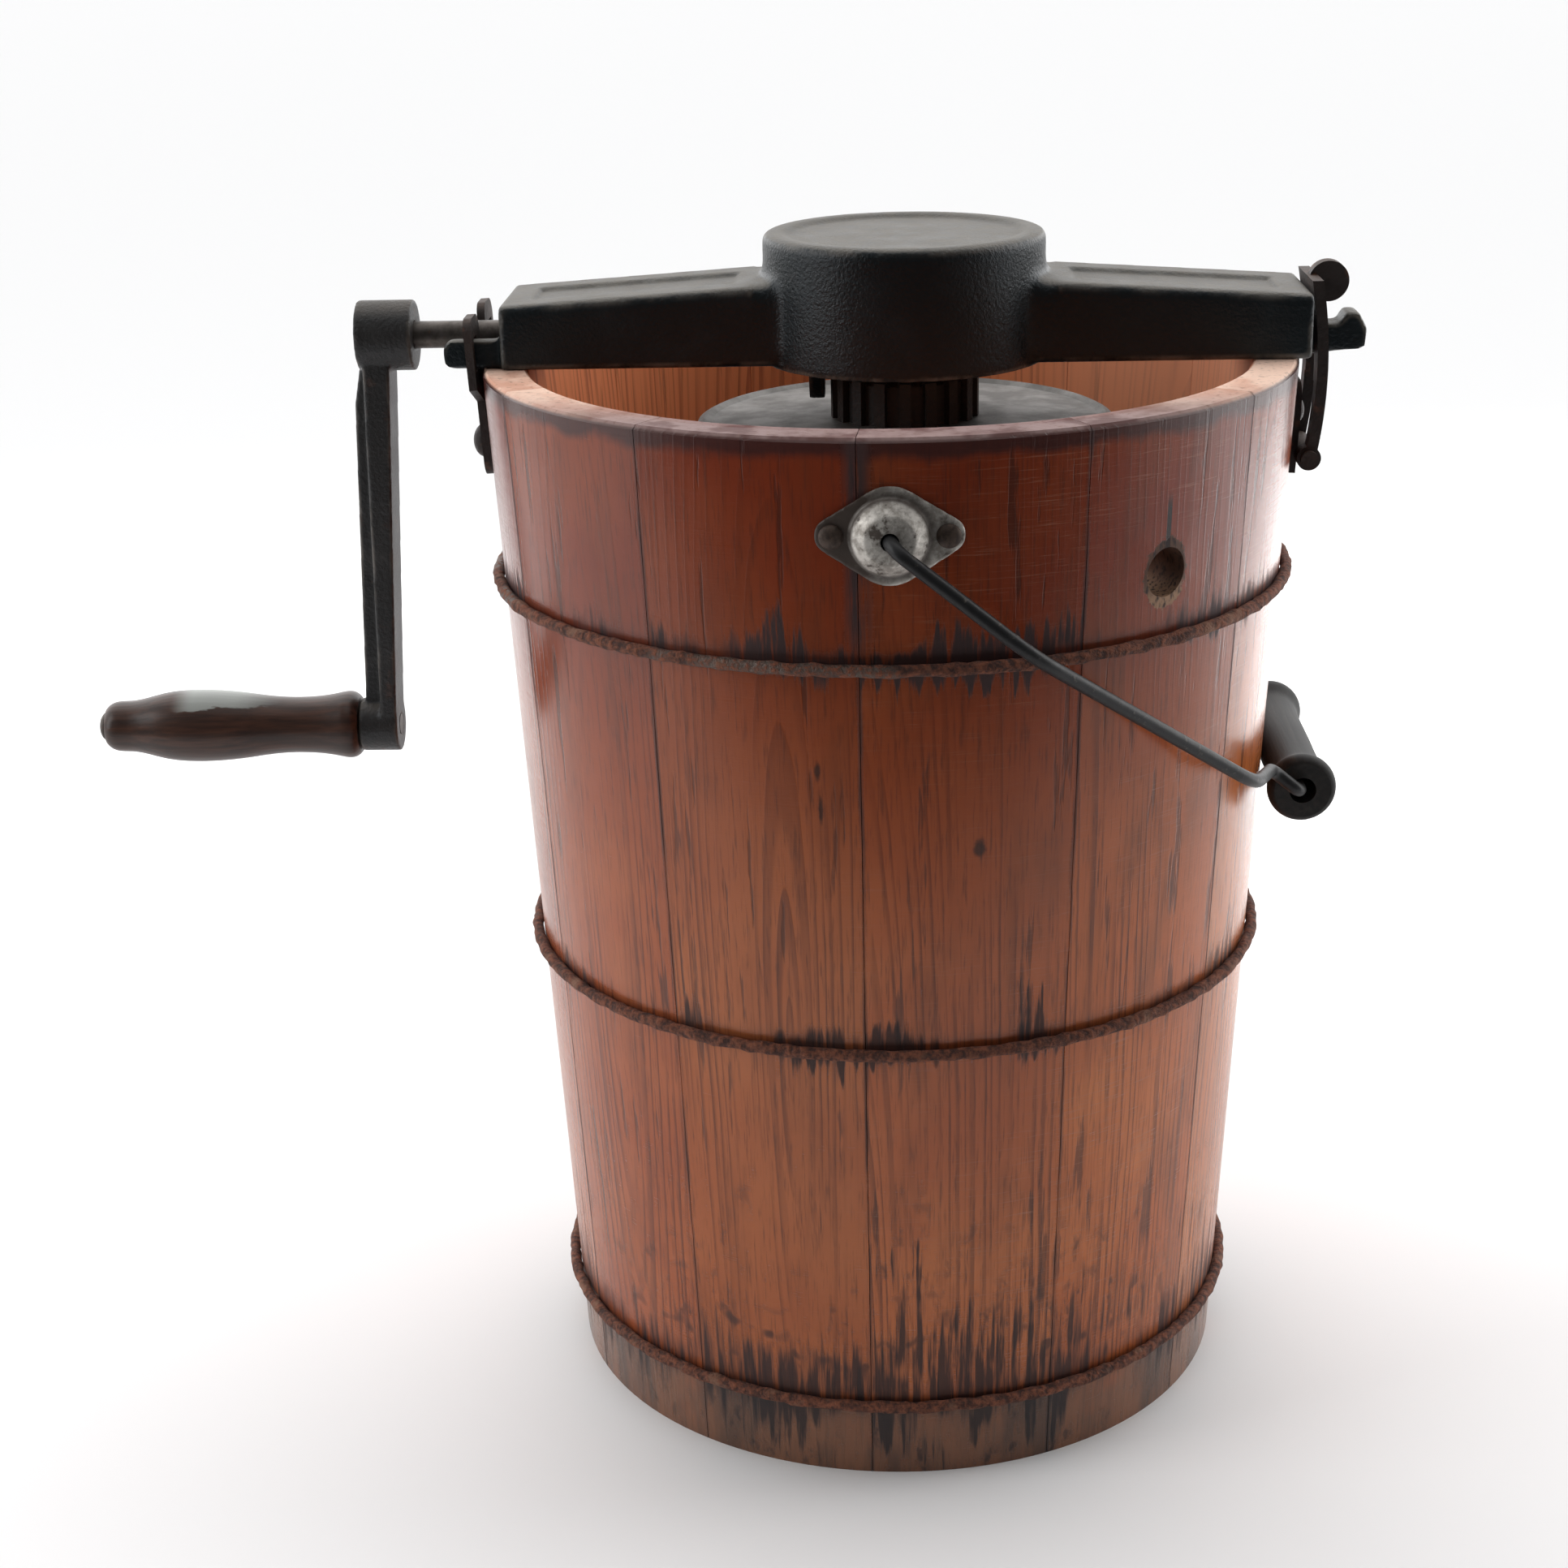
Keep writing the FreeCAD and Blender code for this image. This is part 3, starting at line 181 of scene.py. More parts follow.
def joined(tree, x, y, z):
    """A vector from its three parts."""
    node = tree.nodes.new("ShaderNodeCombineXYZ")
    for socket, value in zip(node.inputs, (x, y, z)):
        feed(tree, socket, value)
    return node.outputs[0]


def cloud(tree, spot, scale, detail=4.0, rough=0.55):
    """Smooth random patches from 0 to 1."""
    node = tree.nodes.new("ShaderNodeTexNoise")
    tree.links.new(spot, node.inputs["Vector"])
    node.inputs["Scale"].default_value = scale
    node.inputs["Detail"].default_value = detail
    node.inputs["Roughness"].default_value = rough
    return node.outputs[0]


def between(tree, value, low, high):
    """A smooth change from 0 at low to 1 at high; low may be the greater of the two."""
    node = tree.nodes.new("ShaderNodeMapRange")
    node.interpolation_type = "SMOOTHSTEP"
    feed(tree, node.inputs["Value"], value)
    falling = low > high
    node.inputs["From Min"].default_value = min(low, high)
    node.inputs["From Max"].default_value = max(low, high)
    node.inputs["To Min"].default_value = 1.0 if falling else 0.0
    node.inputs["To Max"].default_value = 0.0 if falling else 1.0
    return node.outputs[0]


print("pattern helpers ready")

# %% Colour nodes


def blended(tree, share, first, second):
    """Mix two colours by a share."""
    node = tree.nodes.new("ShaderNodeMix")
    node.data_type = "RGBA"
    feed(tree, node.inputs[0], share)
    for socket, value in ((node.inputs[6], first), (node.inputs[7], second)):
        feed(tree, socket, value if isinstance(value, bpy.types.NodeSocket) else (*value, 1.0))
    return node.outputs[2]


def painted(tree, under, over, where, strength):
    """Lay a colour over another where a pattern shows."""
    return blended(tree, times(tree, where, strength), under, over)


def raised(tree, shader, pattern, depth, strength=1.0):
    """Turn a pattern into bumps of the given depth in metres."""
    node = tree.nodes.new("ShaderNodeBump")
    node.inputs["Strength"].default_value = strength
    node.inputs["Distance"].default_value = depth
    tree.links.new(pattern, node.inputs["Height"])
    tree.links.new(node.outputs[0], shader.inputs["Normal"])


def dress(finish, *names):
    """Give CAD nodes a finish in their own slots."""
    for name in names:
        thing = bpy.data.objects[name]
        for slot in thing.material_slots:
            slot.material = finish
    print(finish.name, "on", len(names), "nodes")


print("colour helpers ready")

# %% [markdown]
# ## The floor
# The photograph is high-key: the freezer stands on a white sweep. A very large plane does for it.
# White paper in front of the tub would shine up into the iron, so the paper ends there and the
# plane goes on in dark grey, outside the picture.

# %% Lay the floor
FLOOR_SIZE = 80.0
PAPER_ENDS, PAPER_STARTS = -0.75, -0.45
DARK_GROUND, WHITE_PAPER = (0.030, 0.030, 0.030), (0.880, 0.880, 0.885)
bpy.ops.object.select_all(action="DESELECT")
bpy.ops.mesh.primitive_grid_add(x_subdivisions=1, y_subdivisions=1, size=FLOOR_SIZE, location=(0, 0, 0))
floor = bpy.context.object
floor.name = "studio_floor"
paper, paper_tree, paper_shader = new_finish("studio_paper")
backwards = place_xyz(paper_tree)[2]
on_paper = between(paper_tree, backwards, PAPER_ENDS, PAPER_STARTS)
paper_colour = blended(paper_tree, on_paper, DARK_GROUND, WHITE_PAPER)
paper_tree.links.new(paper_colour, paper_shader.inputs["Base Color"])
paper_shader.inputs["Roughness"].default_value = 0.9
floor.data.materials.append(paper)
print("floor", FLOOR_SIZE, "m wide")

# %% [markdown]
# ## Studio light
# Tall soft sources on both sides draw pale bands down the edges of the varnish. The room behind
# the camera is dark, which keeps the front of the iron black, so the sky of the scene is bright at
# the back and dim at the front. Two small beams whiten the paper at the sides.

# %% Brighten the sky at the back
SKY_DIM, SKY_BRIGHT = 0.12, 2.22
SKY_DIM_FROM, SKY_BRIGHT_FROM = -0.25, 0.45
world = bpy.data.worlds.new("studio_world")
world.use_nodes = True
sky = world.node_tree
ways = parts_of(sky, sky.nodes.new("ShaderNodeTexCoord").outputs["Generated"])
rising = between(sky, ways[1], SKY_DIM_FROM, SKY_BRIGHT_FROM)
sky_strength = scaled(sky, rising, factor=SKY_BRIGHT - SKY_DIM, offset=SKY_DIM)
sky.links.new(sky_strength, sky.nodes["Background"].inputs["Strength"])
sky.nodes["Background"].inputs["Color"].default_value = (1.0, 1.0, 1.0, 1)
bpy.context.scene.world = world
bpy.context.scene.view_settings.view_transform = "Standard"
print("sky from", SKY_DIM, "to", SKY_BRIGHT)

# %% Hang the lights


def soft_box(name, place, target, width, height, power, spread=180):
    """A large soft source that faces a point; a small spread keeps its light in a beam."""
    data = bpy.data.lights.new(name, "AREA")
    data.shape = "RECTANGLE"
    data.size, data.size_y, data.energy = width, height, power
    data.spread = math.radians(spread)
    box = bpy.data.objects.new(name, data)
    aim = (Vector(target) - Vector(place)).to_track_quat("-Z", "Y")
    box.matrix_world = Matrix.Translation(place) @ aim.to_matrix().to_4x4()
    bpy.context.scene.collection.objects.link(box)


MIDDLE = (0.0, 0.0, 0.22)
BEAM = 80
soft_box("left_source", (-1.4, -0.45, 0.80), MIDDLE, width=0.6, height=1.2, power=8)
soft_box("right_source", (1.5, 0.25, 0.60), MIDDLE, width=0.5, height=1.4, power=5)
soft_box("top_source", (0.0, -0.7, 2.2), MIDDLE, width=1.6, height=1.0, power=4)
soft_box("right_paper_source", (0.85, 0.85, 0.60), (0.85, 0.86, 0.0), width=1.0, height=1.0, power=9,
         spread=BEAM)
soft_box("left_paper_source", (-0.85, 0.85, 0.60), (-0.85, 0.86, 0.0), width=0.8, height=0.8, power=2,
         spread=BEAM)
print("lights", [thing.name for thing in bpy.data.lights])

# %% [markdown]
# ## Varnished staves
# The tub is softwood, varnished red-brown, with long dark growth lines. Each stave was cut from
# another board, so the pattern has to start afresh at every seam. The recipe finds the angle
# round the tub, splits it into staves, and reads the grain in each stave's own coordinates:
# across, out and up. One finish then does for all the staves. Angles here are in radians from the
# front of the tub, and grow to the right.

# %% Stave coordinates
STAVES, STAVE_TURN, FIRST_SEAM = 12, 30.0, -4.1
STAVE_WIDE, BOARD_APART = 75.0 * MM, 3.7
TUB_BASE, TUB_TOP, TUB_TALL = 131.6 * MM, 152.5 * MM, 405.0 * MM
HOOP_LEVELS = {"bottom_hoop": 31.0 * MM, "middle_hoop": 180.5 * MM, "top_hoop": 325.8 * MM}
wood, tree, shader = new_finish("stave_varnish")
spot, x, y, height = place_xyz(tree)
angle = arithmetic(tree, "ARCTAN2", x, times(tree, y, -1.0))
turns = scaled(tree, angle, factor=math.degrees(1.0) / STAVE_TURN, offset=-FIRST_SEAM / STAVE_TURN)
number = arithmetic(tree, "FLOORED_MODULO", arithmetic(tree, "FLOOR", turns), float(STAVES))
share = arithmetic(tree, "FRACT", turns)
across = times(tree, minus(tree, share, 0.5), STAVE_WIDE)
radius = distance(tree, x, y)
wall = scaled(tree, height, factor=(TUB_TOP - TUB_BASE) / TUB_TALL, offset=TUB_BASE)
depth = minus(tree, wall, radius)
own = times(tree, number, BOARD_APART)
own_across = plus(tree, across, own)
board = joined(tree, own_across, radius, plus(tree, height, own))
print("staves", STAVES, "of", STAVE_TURN, "degrees")

# %% [markdown]
# ### Growth lines
# A board shows the rings of its tree as nested curves. A wave texture would draw the same bands on every
# stave. Here each stave gets a pith of its own, a line that lies some way to the side and leans a little,
# and the rings are steps away from it. One stave at the front shows tall arches, so its pith is given.

# %% Rings round a pith
RING_STEP, RING_UNEVEN = 3.4 * MM, 10.0 * MM
PITH_SPREAD, PITH_LEAN, PITH_DEPTH = 130.0 * MM, 0.075, 4.0 * MM
PITH_LOWEST, PITH_RANGE = 60.0 * MM, 300.0 * MM
ARCHED_STAVE, ARCH_SIDE = 11.0, 10.0 * MM
SWAY = 12.0 * MM


def drawn_lot(tree, number, offset):
    """A random number from 0 to 1 that is the same all over a stave."""
    node = tree.nodes.new("ShaderNodeTexWhiteNoise")
    node.noise_dimensions = "1D"
    tree.links.new(plus(tree, number, offset), node.inputs["W"])
    return node.outputs["Value"]


def along_grain(tree, out, stretch):
    """A place in the stave whose height counts for less, so that a pattern runs with the grain."""
    return joined(tree, own_across, out, times(tree, height, stretch))


sway_place = along_grain(tree, times(tree, radius, 0.5), stretch=0.12)
swaying = minus(tree, cloud(tree, sway_place, scale=22.0, detail=3.0), 0.5)
pith_side = times(tree, minus(tree, drawn_lot(tree, number, offset=0.31), 0.5), PITH_SPREAD)
pith_level = scaled(tree, drawn_lot(tree, number, offset=0.77), factor=PITH_RANGE, offset=PITH_LOWEST)
arched = arithmetic(tree, "COMPARE", number, ARCHED_STAVE, 0.5)
pith_side = times(tree, pith_side, minus(tree, 1.0, arched))
pith_side = scaled(tree, arched, factor=ARCH_SIDE, offset=pith_side)
sideways = scaled(tree, swaying, factor=SWAY, offset=minus(tree, across, pith_side))
inward = times(tree, minus(tree, height, pith_level), PITH_LEAN)
inward = plus(tree, plus(tree, inward, depth), PITH_DEPTH)
from_pith = distance(tree, sideways, inward)
uneven = cloud(tree, joined(tree, plus(tree, from_pith, own), 0.0, 0.0), scale=130.0, detail=2.0)
from_pith = scaled(tree, uneven, factor=RING_UNEVEN, offset=from_pith)
year = arithmetic(tree, "FRACT", arithmetic(tree, "DIVIDE", from_pith, RING_STEP))
year_strength = cloud(tree, along_grain(tree, 0.0, stretch=0.10), scale=60.0, detail=3.0)
late_wood = times(tree, between(tree, year, 0.45, 0.90), between(tree, year, 1.0, 0.94),
                  between(tree, year_strength, 0.36, 0.60))
print("rings", round(RING_STEP / MM, 1), "mm apart")

# %% [markdown]
# ### Fibres and scratches
# Old softwood also shows fine fibres along the grain, and longer dark streaks. Fine scratches run
# round the tub, across the grain. Each is the same kind of cloud, drawn out another way.

# %% Fibres, streaks and scratches
fibre = cloud(tree, along_grain(tree, radius, stretch=0.02), scale=1100.0, detail=3.0, rough=0.6)
streak = cloud(tree, along_grain(tree, radius, stretch=0.03), scale=230.0, detail=4.0, rough=0.6)
dark_streak = between(tree, streak, 0.60, 0.66)
blotch = cloud(tree, board, scale=9.0, detail=3.0)
smear = cloud(tree, along_grain(tree, 0.0, stretch=0.25), scale=42.0, detail=4.0, rough=0.6)
round_tub = joined(tree, times(tree, angle, 0.16), 0.0, times(tree, height, 30.0))
fine_scratch = cloud(tree, round_tub, scale=46.0, detail=4.0, rough=0.65)
print("wood patterns use", len(tree.nodes), "nodes so far")

# %% [markdown]
# ### Varnish colours
# The varnish is deep red near the rim and paler lower down. Each layer is painted over the last
# one in a share of its pattern, and lots drawn for each stave make some staves more
# honey-coloured and others darker.

# %% Varnish colours
UPPER_RED, MIDDLE_RED = (0.190, 0.018, 0.003), (0.440, 0.093, 0.024)
VARNISH_CHANGES, BLOTCH_LIFT = (240.0 * MM, 420.0 * MM), 100.0 * MM
GLINT_ANGLES = (-0.35, 0.75)
PALE_PATCH, DEEP_TONE, HONEY = (0.640, 0.195, 0.062), (0.200, 0.036, 0.012), (0.620, 0.215, 0.058)
SMEAR_BROWN, LATE_WOOD_BROWN = (0.150, 0.034, 0.012), (0.085, 0.018, 0.007)
STREAK_BROWN, FIBRE_BROWN = (0.045, 0.015, 0.010), (0.070, 0.022, 0.012)
SCRATCH_GLINT_TAN = (0.400, 0.170, 0.100)
high_up = between(tree, scaled(tree, blotch, factor=BLOTCH_LIFT, offset=height), *VARNISH_CHANGES)
colour = blended(tree, high_up, MIDDLE_RED, UPPER_RED)
colour = painted(tree, colour, PALE_PATCH, between(tree, blotch, 0.42, 0.72),
                 strength=scaled(tree, high_up, factor=-0.75, offset=1.0))
colour = painted(tree, colour, SMEAR_BROWN, between(tree, smear, 0.48, 0.72), strength=0.70)
colour = painted(tree, colour, HONEY, drawn_lot(tree, number, offset=0.57),
                 strength=scaled(tree, high_up, factor=-0.45, offset=0.50))
colour = painted(tree, colour, DEEP_TONE, drawn_lot(tree, number, offset=0.13), strength=0.48)
colour = painted(tree, colour, LATE_WOOD_BROWN, late_wood,
                 strength=scaled(tree, high_up, factor=-0.42, offset=0.66))
colour = painted(tree, colour, STREAK_BROWN, dark_streak, strength=0.62)
colour = painted(tree, colour, FIBRE_BROWN, between(tree, fibre, 0.50, 0.72), strength=0.50)
# Pale scratches, more of them towards the right, are real scratches with a painted glint.
scratch_and_glint = times(tree, between(tree, fine_scratch, 0.54, 0.66),
                  between(tree, angle, *GLINT_ANGLES), between(tree, blotch, 0.38, 0.60))
colour = painted(tree, colour, SCRATCH_GLINT_TAN, scratch_and_glint, strength=0.58)
print("varnish uses", len(tree.nodes), "nodes so far")

# %% [markdown]
# ### Iron stain and painted shade at the hoops
# Iron from the wet hoops turned the wood black in small flames that lick up and down along the grain. A
# flame's length is a reach times a streaky pattern, and the wood is stained where that is more than its
# distance from the hoop. A small least reach is added to every flame, and on its own it draws a thin dark
# band along each hoop, which is painted shade where the wire meets the wood. Stains below a hoop are
# shorter, and they are longest at the front of the tub.

# %% Flames at the hoops
SHORTER_BELOW = 2.2
REACH = {"bottom_hoop": 128.0 * MM, "middle_hoop": 50.0 * MM, "top_hoop": 44.0 * MM}
RARE = {"bottom_hoop": 0.34, "middle_hoop": 0.47, "top_hoop": 0.42}
SOFT = {"bottom_hoop": 30.0 * MM, "middle_hoop": 8.0 * MM, "top_hoop": 7.0 * MM}
# The least reach draws a thin band of painted shade along every hoop.
SHADE_BAND_REACH, RARE_SOFT = 3.0 * MM, 0.24
FRONT_ANGLE, FRONT_STAINS = 0.08, (0.75, 0.20)
flame = cloud(tree, along_grain(tree, 0.0, stretch=0.06), scale=300.0, detail=4.0, rough=0.62)
patch = cloud(tree, board, scale=26.0, detail=2.0)
from_front = unsigned(tree, minus(tree, angle, FRONT_ANGLE))
centred = scaled(tree, between(tree, from_front, *FRONT_STAINS), factor=0.45, offset=0.55)
stain_and_shade = None
for hoop, level in HOOP_LEVELS.items():
    over = minus(tree, height, level)
    away = larger(tree, over, times(tree, over, -SHORTER_BELOW))
    lick = times(tree, between(tree, flame, 0.32, 0.86),
                 between(tree, patch, RARE[hoop], RARE[hoop] + RARE_SOFT), centred)
    lick = scaled(tree, lick, factor=REACH[hoop], offset=SHADE_BAND_REACH)
    here = between(tree, minus(tree, lick, away), -SOFT[hoop] * 0.5, SOFT[hoop])
    stain_and_shade = here if stain_and_shade is None else larger(tree, stain_and_shade, here)
print("stains at", len(HOOP_LEVELS), "hoops")

# %% [markdown]
# ### Stain at the foot, the ears and the seams
# Smudges and round drop marks crowd at the foot, and the lowest band has gone grey. Dark runs lie
# beside the ears, and dirt sits in the seams. All of these are masks in height, angle and distance
# from a stave's middle, broken up by patches.

# %% Smudges and drops
DROPS_BELOW, DROPS_ABOVE = (105.0 * MM, 55.0 * MM), (34.0 * MM, 46.0 * MM)
FRONT_SPOTS, SPOTS_BELOW = (1.10, 0.50), (165.0 * MM, 60.0 * MM)
smudge = cloud(tree, along_grain(tree, 0.0, stretch=0.55), scale=150.0, detail=3.0, rough=0.6)
spots = times(tree, between(tree, smudge, 0.53, 0.72), between(tree, patch, 0.30, 0.54), 0.85)
drop = times(tree, between(tree, cloud(tree, board, scale=110.0, detail=1.0), 0.58, 0.76),
             between(tree, height, *DROPS_BELOW), between(tree, height, *DROPS_ABOVE))
spots = larger(tree, spots, times(tree, drop, 0.85))
in_front = between(tree, unsigned(tree, angle), *FRONT_SPOTS)
spots = times(tree, spots, scaled(tree, in_front, factor=0.70, offset=0.30))
low_band = between(tree, height, *SPOTS_BELOW)
stain_and_shade = larger(tree, stain_and_shade, times(tree, spots, low_band))
print("drops up to", round(DROPS_BELOW[0] / MM), "mm")

# %% Ears, seams and the grey foot
EAR_SEAM, EAR_SIDES, EAR_LEVELS = (31.5 * MM, 36.5 * MM), (30.0 * MM, 12.0 * MM), (320.0 * MM, 345.0 * MM)
SEAM_EDGE, GREY_BELOW = (36.2 * MM, 37.2 * MM), (34.0 * MM, 26.0 * MM)
STAIN_AND_SHADE_BLACK = (0.015, 0.013, 0.016)
FOOT_TAN, FOOT_GREY = (0.210, 0.098, 0.056), (0.095, 0.058, 0.042)
from_middle = unsigned(tree, across)
beside_ear = times(tree, between(tree, from_middle, *EAR_SEAM),
                   between(tree, unsigned(tree, x), *EAR_SIDES))
at_ear_level = times(tree, between(tree, height, *EAR_LEVELS), between(tree, flame, 0.34, 0.54))
stain_and_shade = larger(tree, stain_and_shade, times(tree, beside_ear, at_ear_level))
seam_line = times(tree, between(tree, from_middle, *SEAM_EDGE), between(tree, patch, 0.30, 0.60))
stain_and_shade = larger(tree, stain_and_shade, times(tree, seam_line, 0.8))
grey_foot = times(tree, between(tree, height, *GREY_BELOW), between(tree, patch, 0.05, 0.45))
foot_wood = blended(tree, between(tree, smear, 0.40, 0.60), FOOT_TAN, FOOT_GREY)
colour = painted(tree, colour, foot_wood, grey_foot, strength=0.90)
# Stains, and the painted shade along the hoops, are painted black.
colour = painted(tree, colour, STAIN_AND_SHADE_BLACK, stain_and_shade, strength=0.88)
print("stains use", len(tree.nodes), "nodes so far")

# %% [markdown]
# ### Knots and dents
# A few small knots and dents show on the front staves. Each is an ellipse with an uneven edge,
# given by its angle round the tub, its level, and half its width and height.

# %% Knots and dents
KNOT_BROWN = (0.030, 0.014, 0.010)
KNOTS = ((0.209, 259.0 * MM, 2.6 * MM, 4.6 * MM),
         (-0.174, 288.0 * MM, 1.3 * MM, 4.0 * MM),
         (-0.168, 274.0 * MM, 1.0 * MM, 6.0 * MM))
uneven_edge = times(tree, cloud(tree, spot, scale=320.0, detail=3.0), 0.9)
for knot_angle, knot_level, half_wide, half_tall in KNOTS:
    sidestep = times(tree, minus(tree, angle, knot_angle), TUB_TOP / half_wide)
    upstep = arithmetic(tree, "DIVIDE", minus(tree, height, knot_level), half_tall)
    off_knot = plus(tree, distance(tree, sidestep, upstep), uneven_edge)
    colour = painted(tree, colour, KNOT_BROWN, between(tree, off_knot, 1.6, 0.9), strength=0.85)
print("knots", len(KNOTS))

# %% [markdown]
# ### Inside and rim
# The inside is bare wood, a pale orange, with a painted highlight that makes it paler still on the right.
# The rim shows end grain under a painted sheen that makes it pale at the sides and back; towards the
# front it turns a darker grey, and a dark band lies just under it. The same finish paints them all, by
# the depth below the outer face and by the height.

# %% Inside and rim
RIM_LEVELS, INNER_DEPTHS = (403.6 * MM, 404.6 * MM), (10.0 * MM, 14.0 * MM)
UNDER_RIM_LEVELS, UNDER_RIM_RAGGED = (401.0 * MM, 406.0 * MM), 10.0 * MM
HIGHLIGHT_RIGHT, GREY_FRONT = (30.0 * MM, 110.0 * MM), (-60.0 * MM, -130.0 * MM)
INNER_EARLY, INNER_LATE = (0.800, 0.255, 0.095), (0.480, 0.135, 0.050)
INNER_STREAK, INNER_HIGHLIGHT_PALE = (0.200, 0.070, 0.028), (0.840, 0.400, 0.240)
RIM_SHEEN_PALE, RIM_TAN = (0.900, 0.640, 0.510), (0.680, 0.370, 0.265)
RIM_GREY, RIM_DARK = (0.300, 0.205, 0.195), (0.150, 0.080, 0.075)
END_GRAIN_BROWN, UNDER_RIM_DARK = (0.130, 0.060, 0.040), (0.045, 0.016, 0.015)
# A dark band just under the rim, with a ragged edge.
under_rim_ragged = scaled(tree, cloud(tree, board, scale=60.0, detail=3.0), factor=UNDER_RIM_RAGGED, offset=height)
colour = painted(tree, colour, UNDER_RIM_DARK, between(tree, under_rim_ragged, *UNDER_RIM_LEVELS), strength=0.88)
inside = between(tree, depth, *INNER_DEPTHS)
inner_wood_and_highlight = blended(tree, late_wood, INNER_EARLY, INNER_LATE)
inner_wood_and_highlight = painted(tree, inner_wood_and_highlight, INNER_STREAK, between(tree, streak, 0.58, 0.72), strength=0.6)
# A painted highlight makes the inside paler on the right.
inner_wood_and_highlight = painted(tree, inner_wood_and_highlight, INNER_HIGHLIGHT_PALE, between(tree, x, *HIGHLIGHT_RIGHT), strength=0.55)
colour = blended(tree, inside, colour, inner_wood_and_highlight)
rim_top = between(tree, height, *RIM_LEVELS)
end_grain = cloud(tree, spot, scale=420.0, detail=3.0)
tan_patch = between(tree, cloud(tree, board, scale=45.0, detail=3.0), 0.40, 0.68)
# The pale rim colour is a painted sheen, broken by tan patches.
rim_wood_and_sheen = blended(tree, tan_patch, RIM_SHEEN_PALE, RIM_TAN)
dark_patch = between(tree, cloud(tree, board, scale=70.0, detail=3.0), 0.42, 0.62)
greyed = blended(tree, dark_patch, RIM_GREY, RIM_DARK)
rim_wood_and_sheen = blended(tree, between(tree, y, *GREY_FRONT), rim_wood_and_sheen, greyed)
rim_wood_and_sheen = painted(tree, rim_wood_and_sheen, END_GRAIN_BROWN, between(tree, end_grain, 0.52, 0.78), strength=0.55)
colour = blended(tree, rim_top, colour, rim_wood_and_sheen)
print("inside from", round(INNER_DEPTHS[1] / MM), "mm below the outer face")

# %% [markdown]
# ### The drain hole
# Brine runs out of a bored hole high in the wall. The bore is a CAD cut and has a clean edge, but
# on the real tub wood has broken away round it. The chipped ring is painted: bare wood wherever
# the distance from the bore's axis, made ragged by a cloud pattern, is small. A short split runs up
# from the hole.

# %% Bare wood in the drain hole
DRAIN_TURN, DRAIN_LEVEL = math.radians(39.0), 349.6 * MM
CHIP_RADIUS, CHIP_SOFT, CHIP_RAGGED, CHIP_TALLER = 12.6 * MM, 0.8 * MM, 6.0 * MM, 0.80
OUTER_SIDE, BARE_RISE = (100.0 * MM, 120.0 * MM), (-10.0 * MM, -2.0 * MM)
SPLIT_WIDE, SPLIT_FROM, SPLIT_UNTIL = (1.3 * MM, 0.8 * MM), (4.0 * MM, 10.0 * MM), (30.0 * MM, 22.0 * MM)
BARE_LOW, BARE_HIGH = (0.340, 0.200, 0.120), (0.095, 0.046, 0.028)
TORN_BROWN, SPLIT_BROWN = (0.030, 0.016, 0.012), (0.020, 0.010, 0.008)
side = plus(tree, times(tree, x, math.cos(DRAIN_TURN)), times(tree, y, math.sin(DRAIN_TURN)))
out = minus(tree, times(tree, x, math.sin(DRAIN_TURN)), times(tree, y, math.cos(DRAIN_TURN)))
rise = minus(tree, height, DRAIN_LEVEL)
from_axis = distance(tree, side, times(tree, rise, CHIP_TALLER))
ragged = scaled(tree, cloud(tree, spot, scale=330.0, detail=4.0, rough=0.65), factor=CHIP_RAGGED,
                offset=from_axis)
facing = between(tree, out, *OUTER_SIDE)
chip = times(tree, between(tree, ragged, CHIP_RADIUS + CHIP_SOFT, CHIP_RADIUS), facing)
bare = blended(tree, between(tree, rise, *BARE_RISE), BARE_LOW, BARE_HIGH)
torn_fibre = cloud(tree, joined(tree, x, y, times(tree, height, 0.35)), scale=900.0, detail=3.0)
bare = blended(tree, between(tree, torn_fibre, 0.48, 0.66), bare, TORN_BROWN)
colour = blended(tree, chip, colour, bare)
split = times(tree, between(tree, unsigned(tree, side), *SPLIT_WIDE),
              between(tree, rise, *SPLIT_FROM), between(tree, rise, *SPLIT_UNTIL))
colour = painted(tree, colour, SPLIT_BROWN, split, strength=facing)
tree.links.new(colour, shader.inputs["Base Color"])
print("drain at", round(DRAIN_LEVEL / MM, 1), "mm")

# %% [markdown]
# ### Shine and relief
# Varnish shines, and stained or bare wood doesn't, nor does the painted shade along the hoops. The
# scratches break the shine up, and they, the late wood and the fibres stand a fraction of a millimetre
# above or below the rest.

# %% Shine and relief
WOOD_RELIEF = 0.3 * MM
gloss = scaled(tree, fine_scratch, factor=0.22, offset=0.12)
gloss = scaled(tree, stain_and_shade, factor=0.35, offset=gloss)
unvarnished = larger(tree, scaled(tree, rim_top, factor=0.6, offset=inside), chip)
gloss = larger(tree, gloss, times(tree, unvarnished, 0.72))
tree.links.new(gloss, shader.inputs["Roughness"])
tree.links.new(scaled(tree, rim_top, factor=-0.34, offset=0.40), shader.inputs["Specular IOR Level"])
relief = scaled(tree, late_wood, factor=0.18, offset=times(tree, dark_streak, -0.4))
relief = scaled(tree, fine_scratch, factor=0.26, offset=relief)
relief = scaled(tree, fibre, factor=0.22, offset=relief)
raised(tree, shader, relief, depth=WOOD_RELIEF, strength=0.55)
dress(wood, *["stave_%02d" % index for index in range(1, STAVES + 1)])

# %% [markdown]
# ## Rust
# The hoops are drawn wire that has rusted all over. Rust is a dull brown with lighter lumps and
# tan patches of scale. A little bare grey metal still shows on the top hoop.

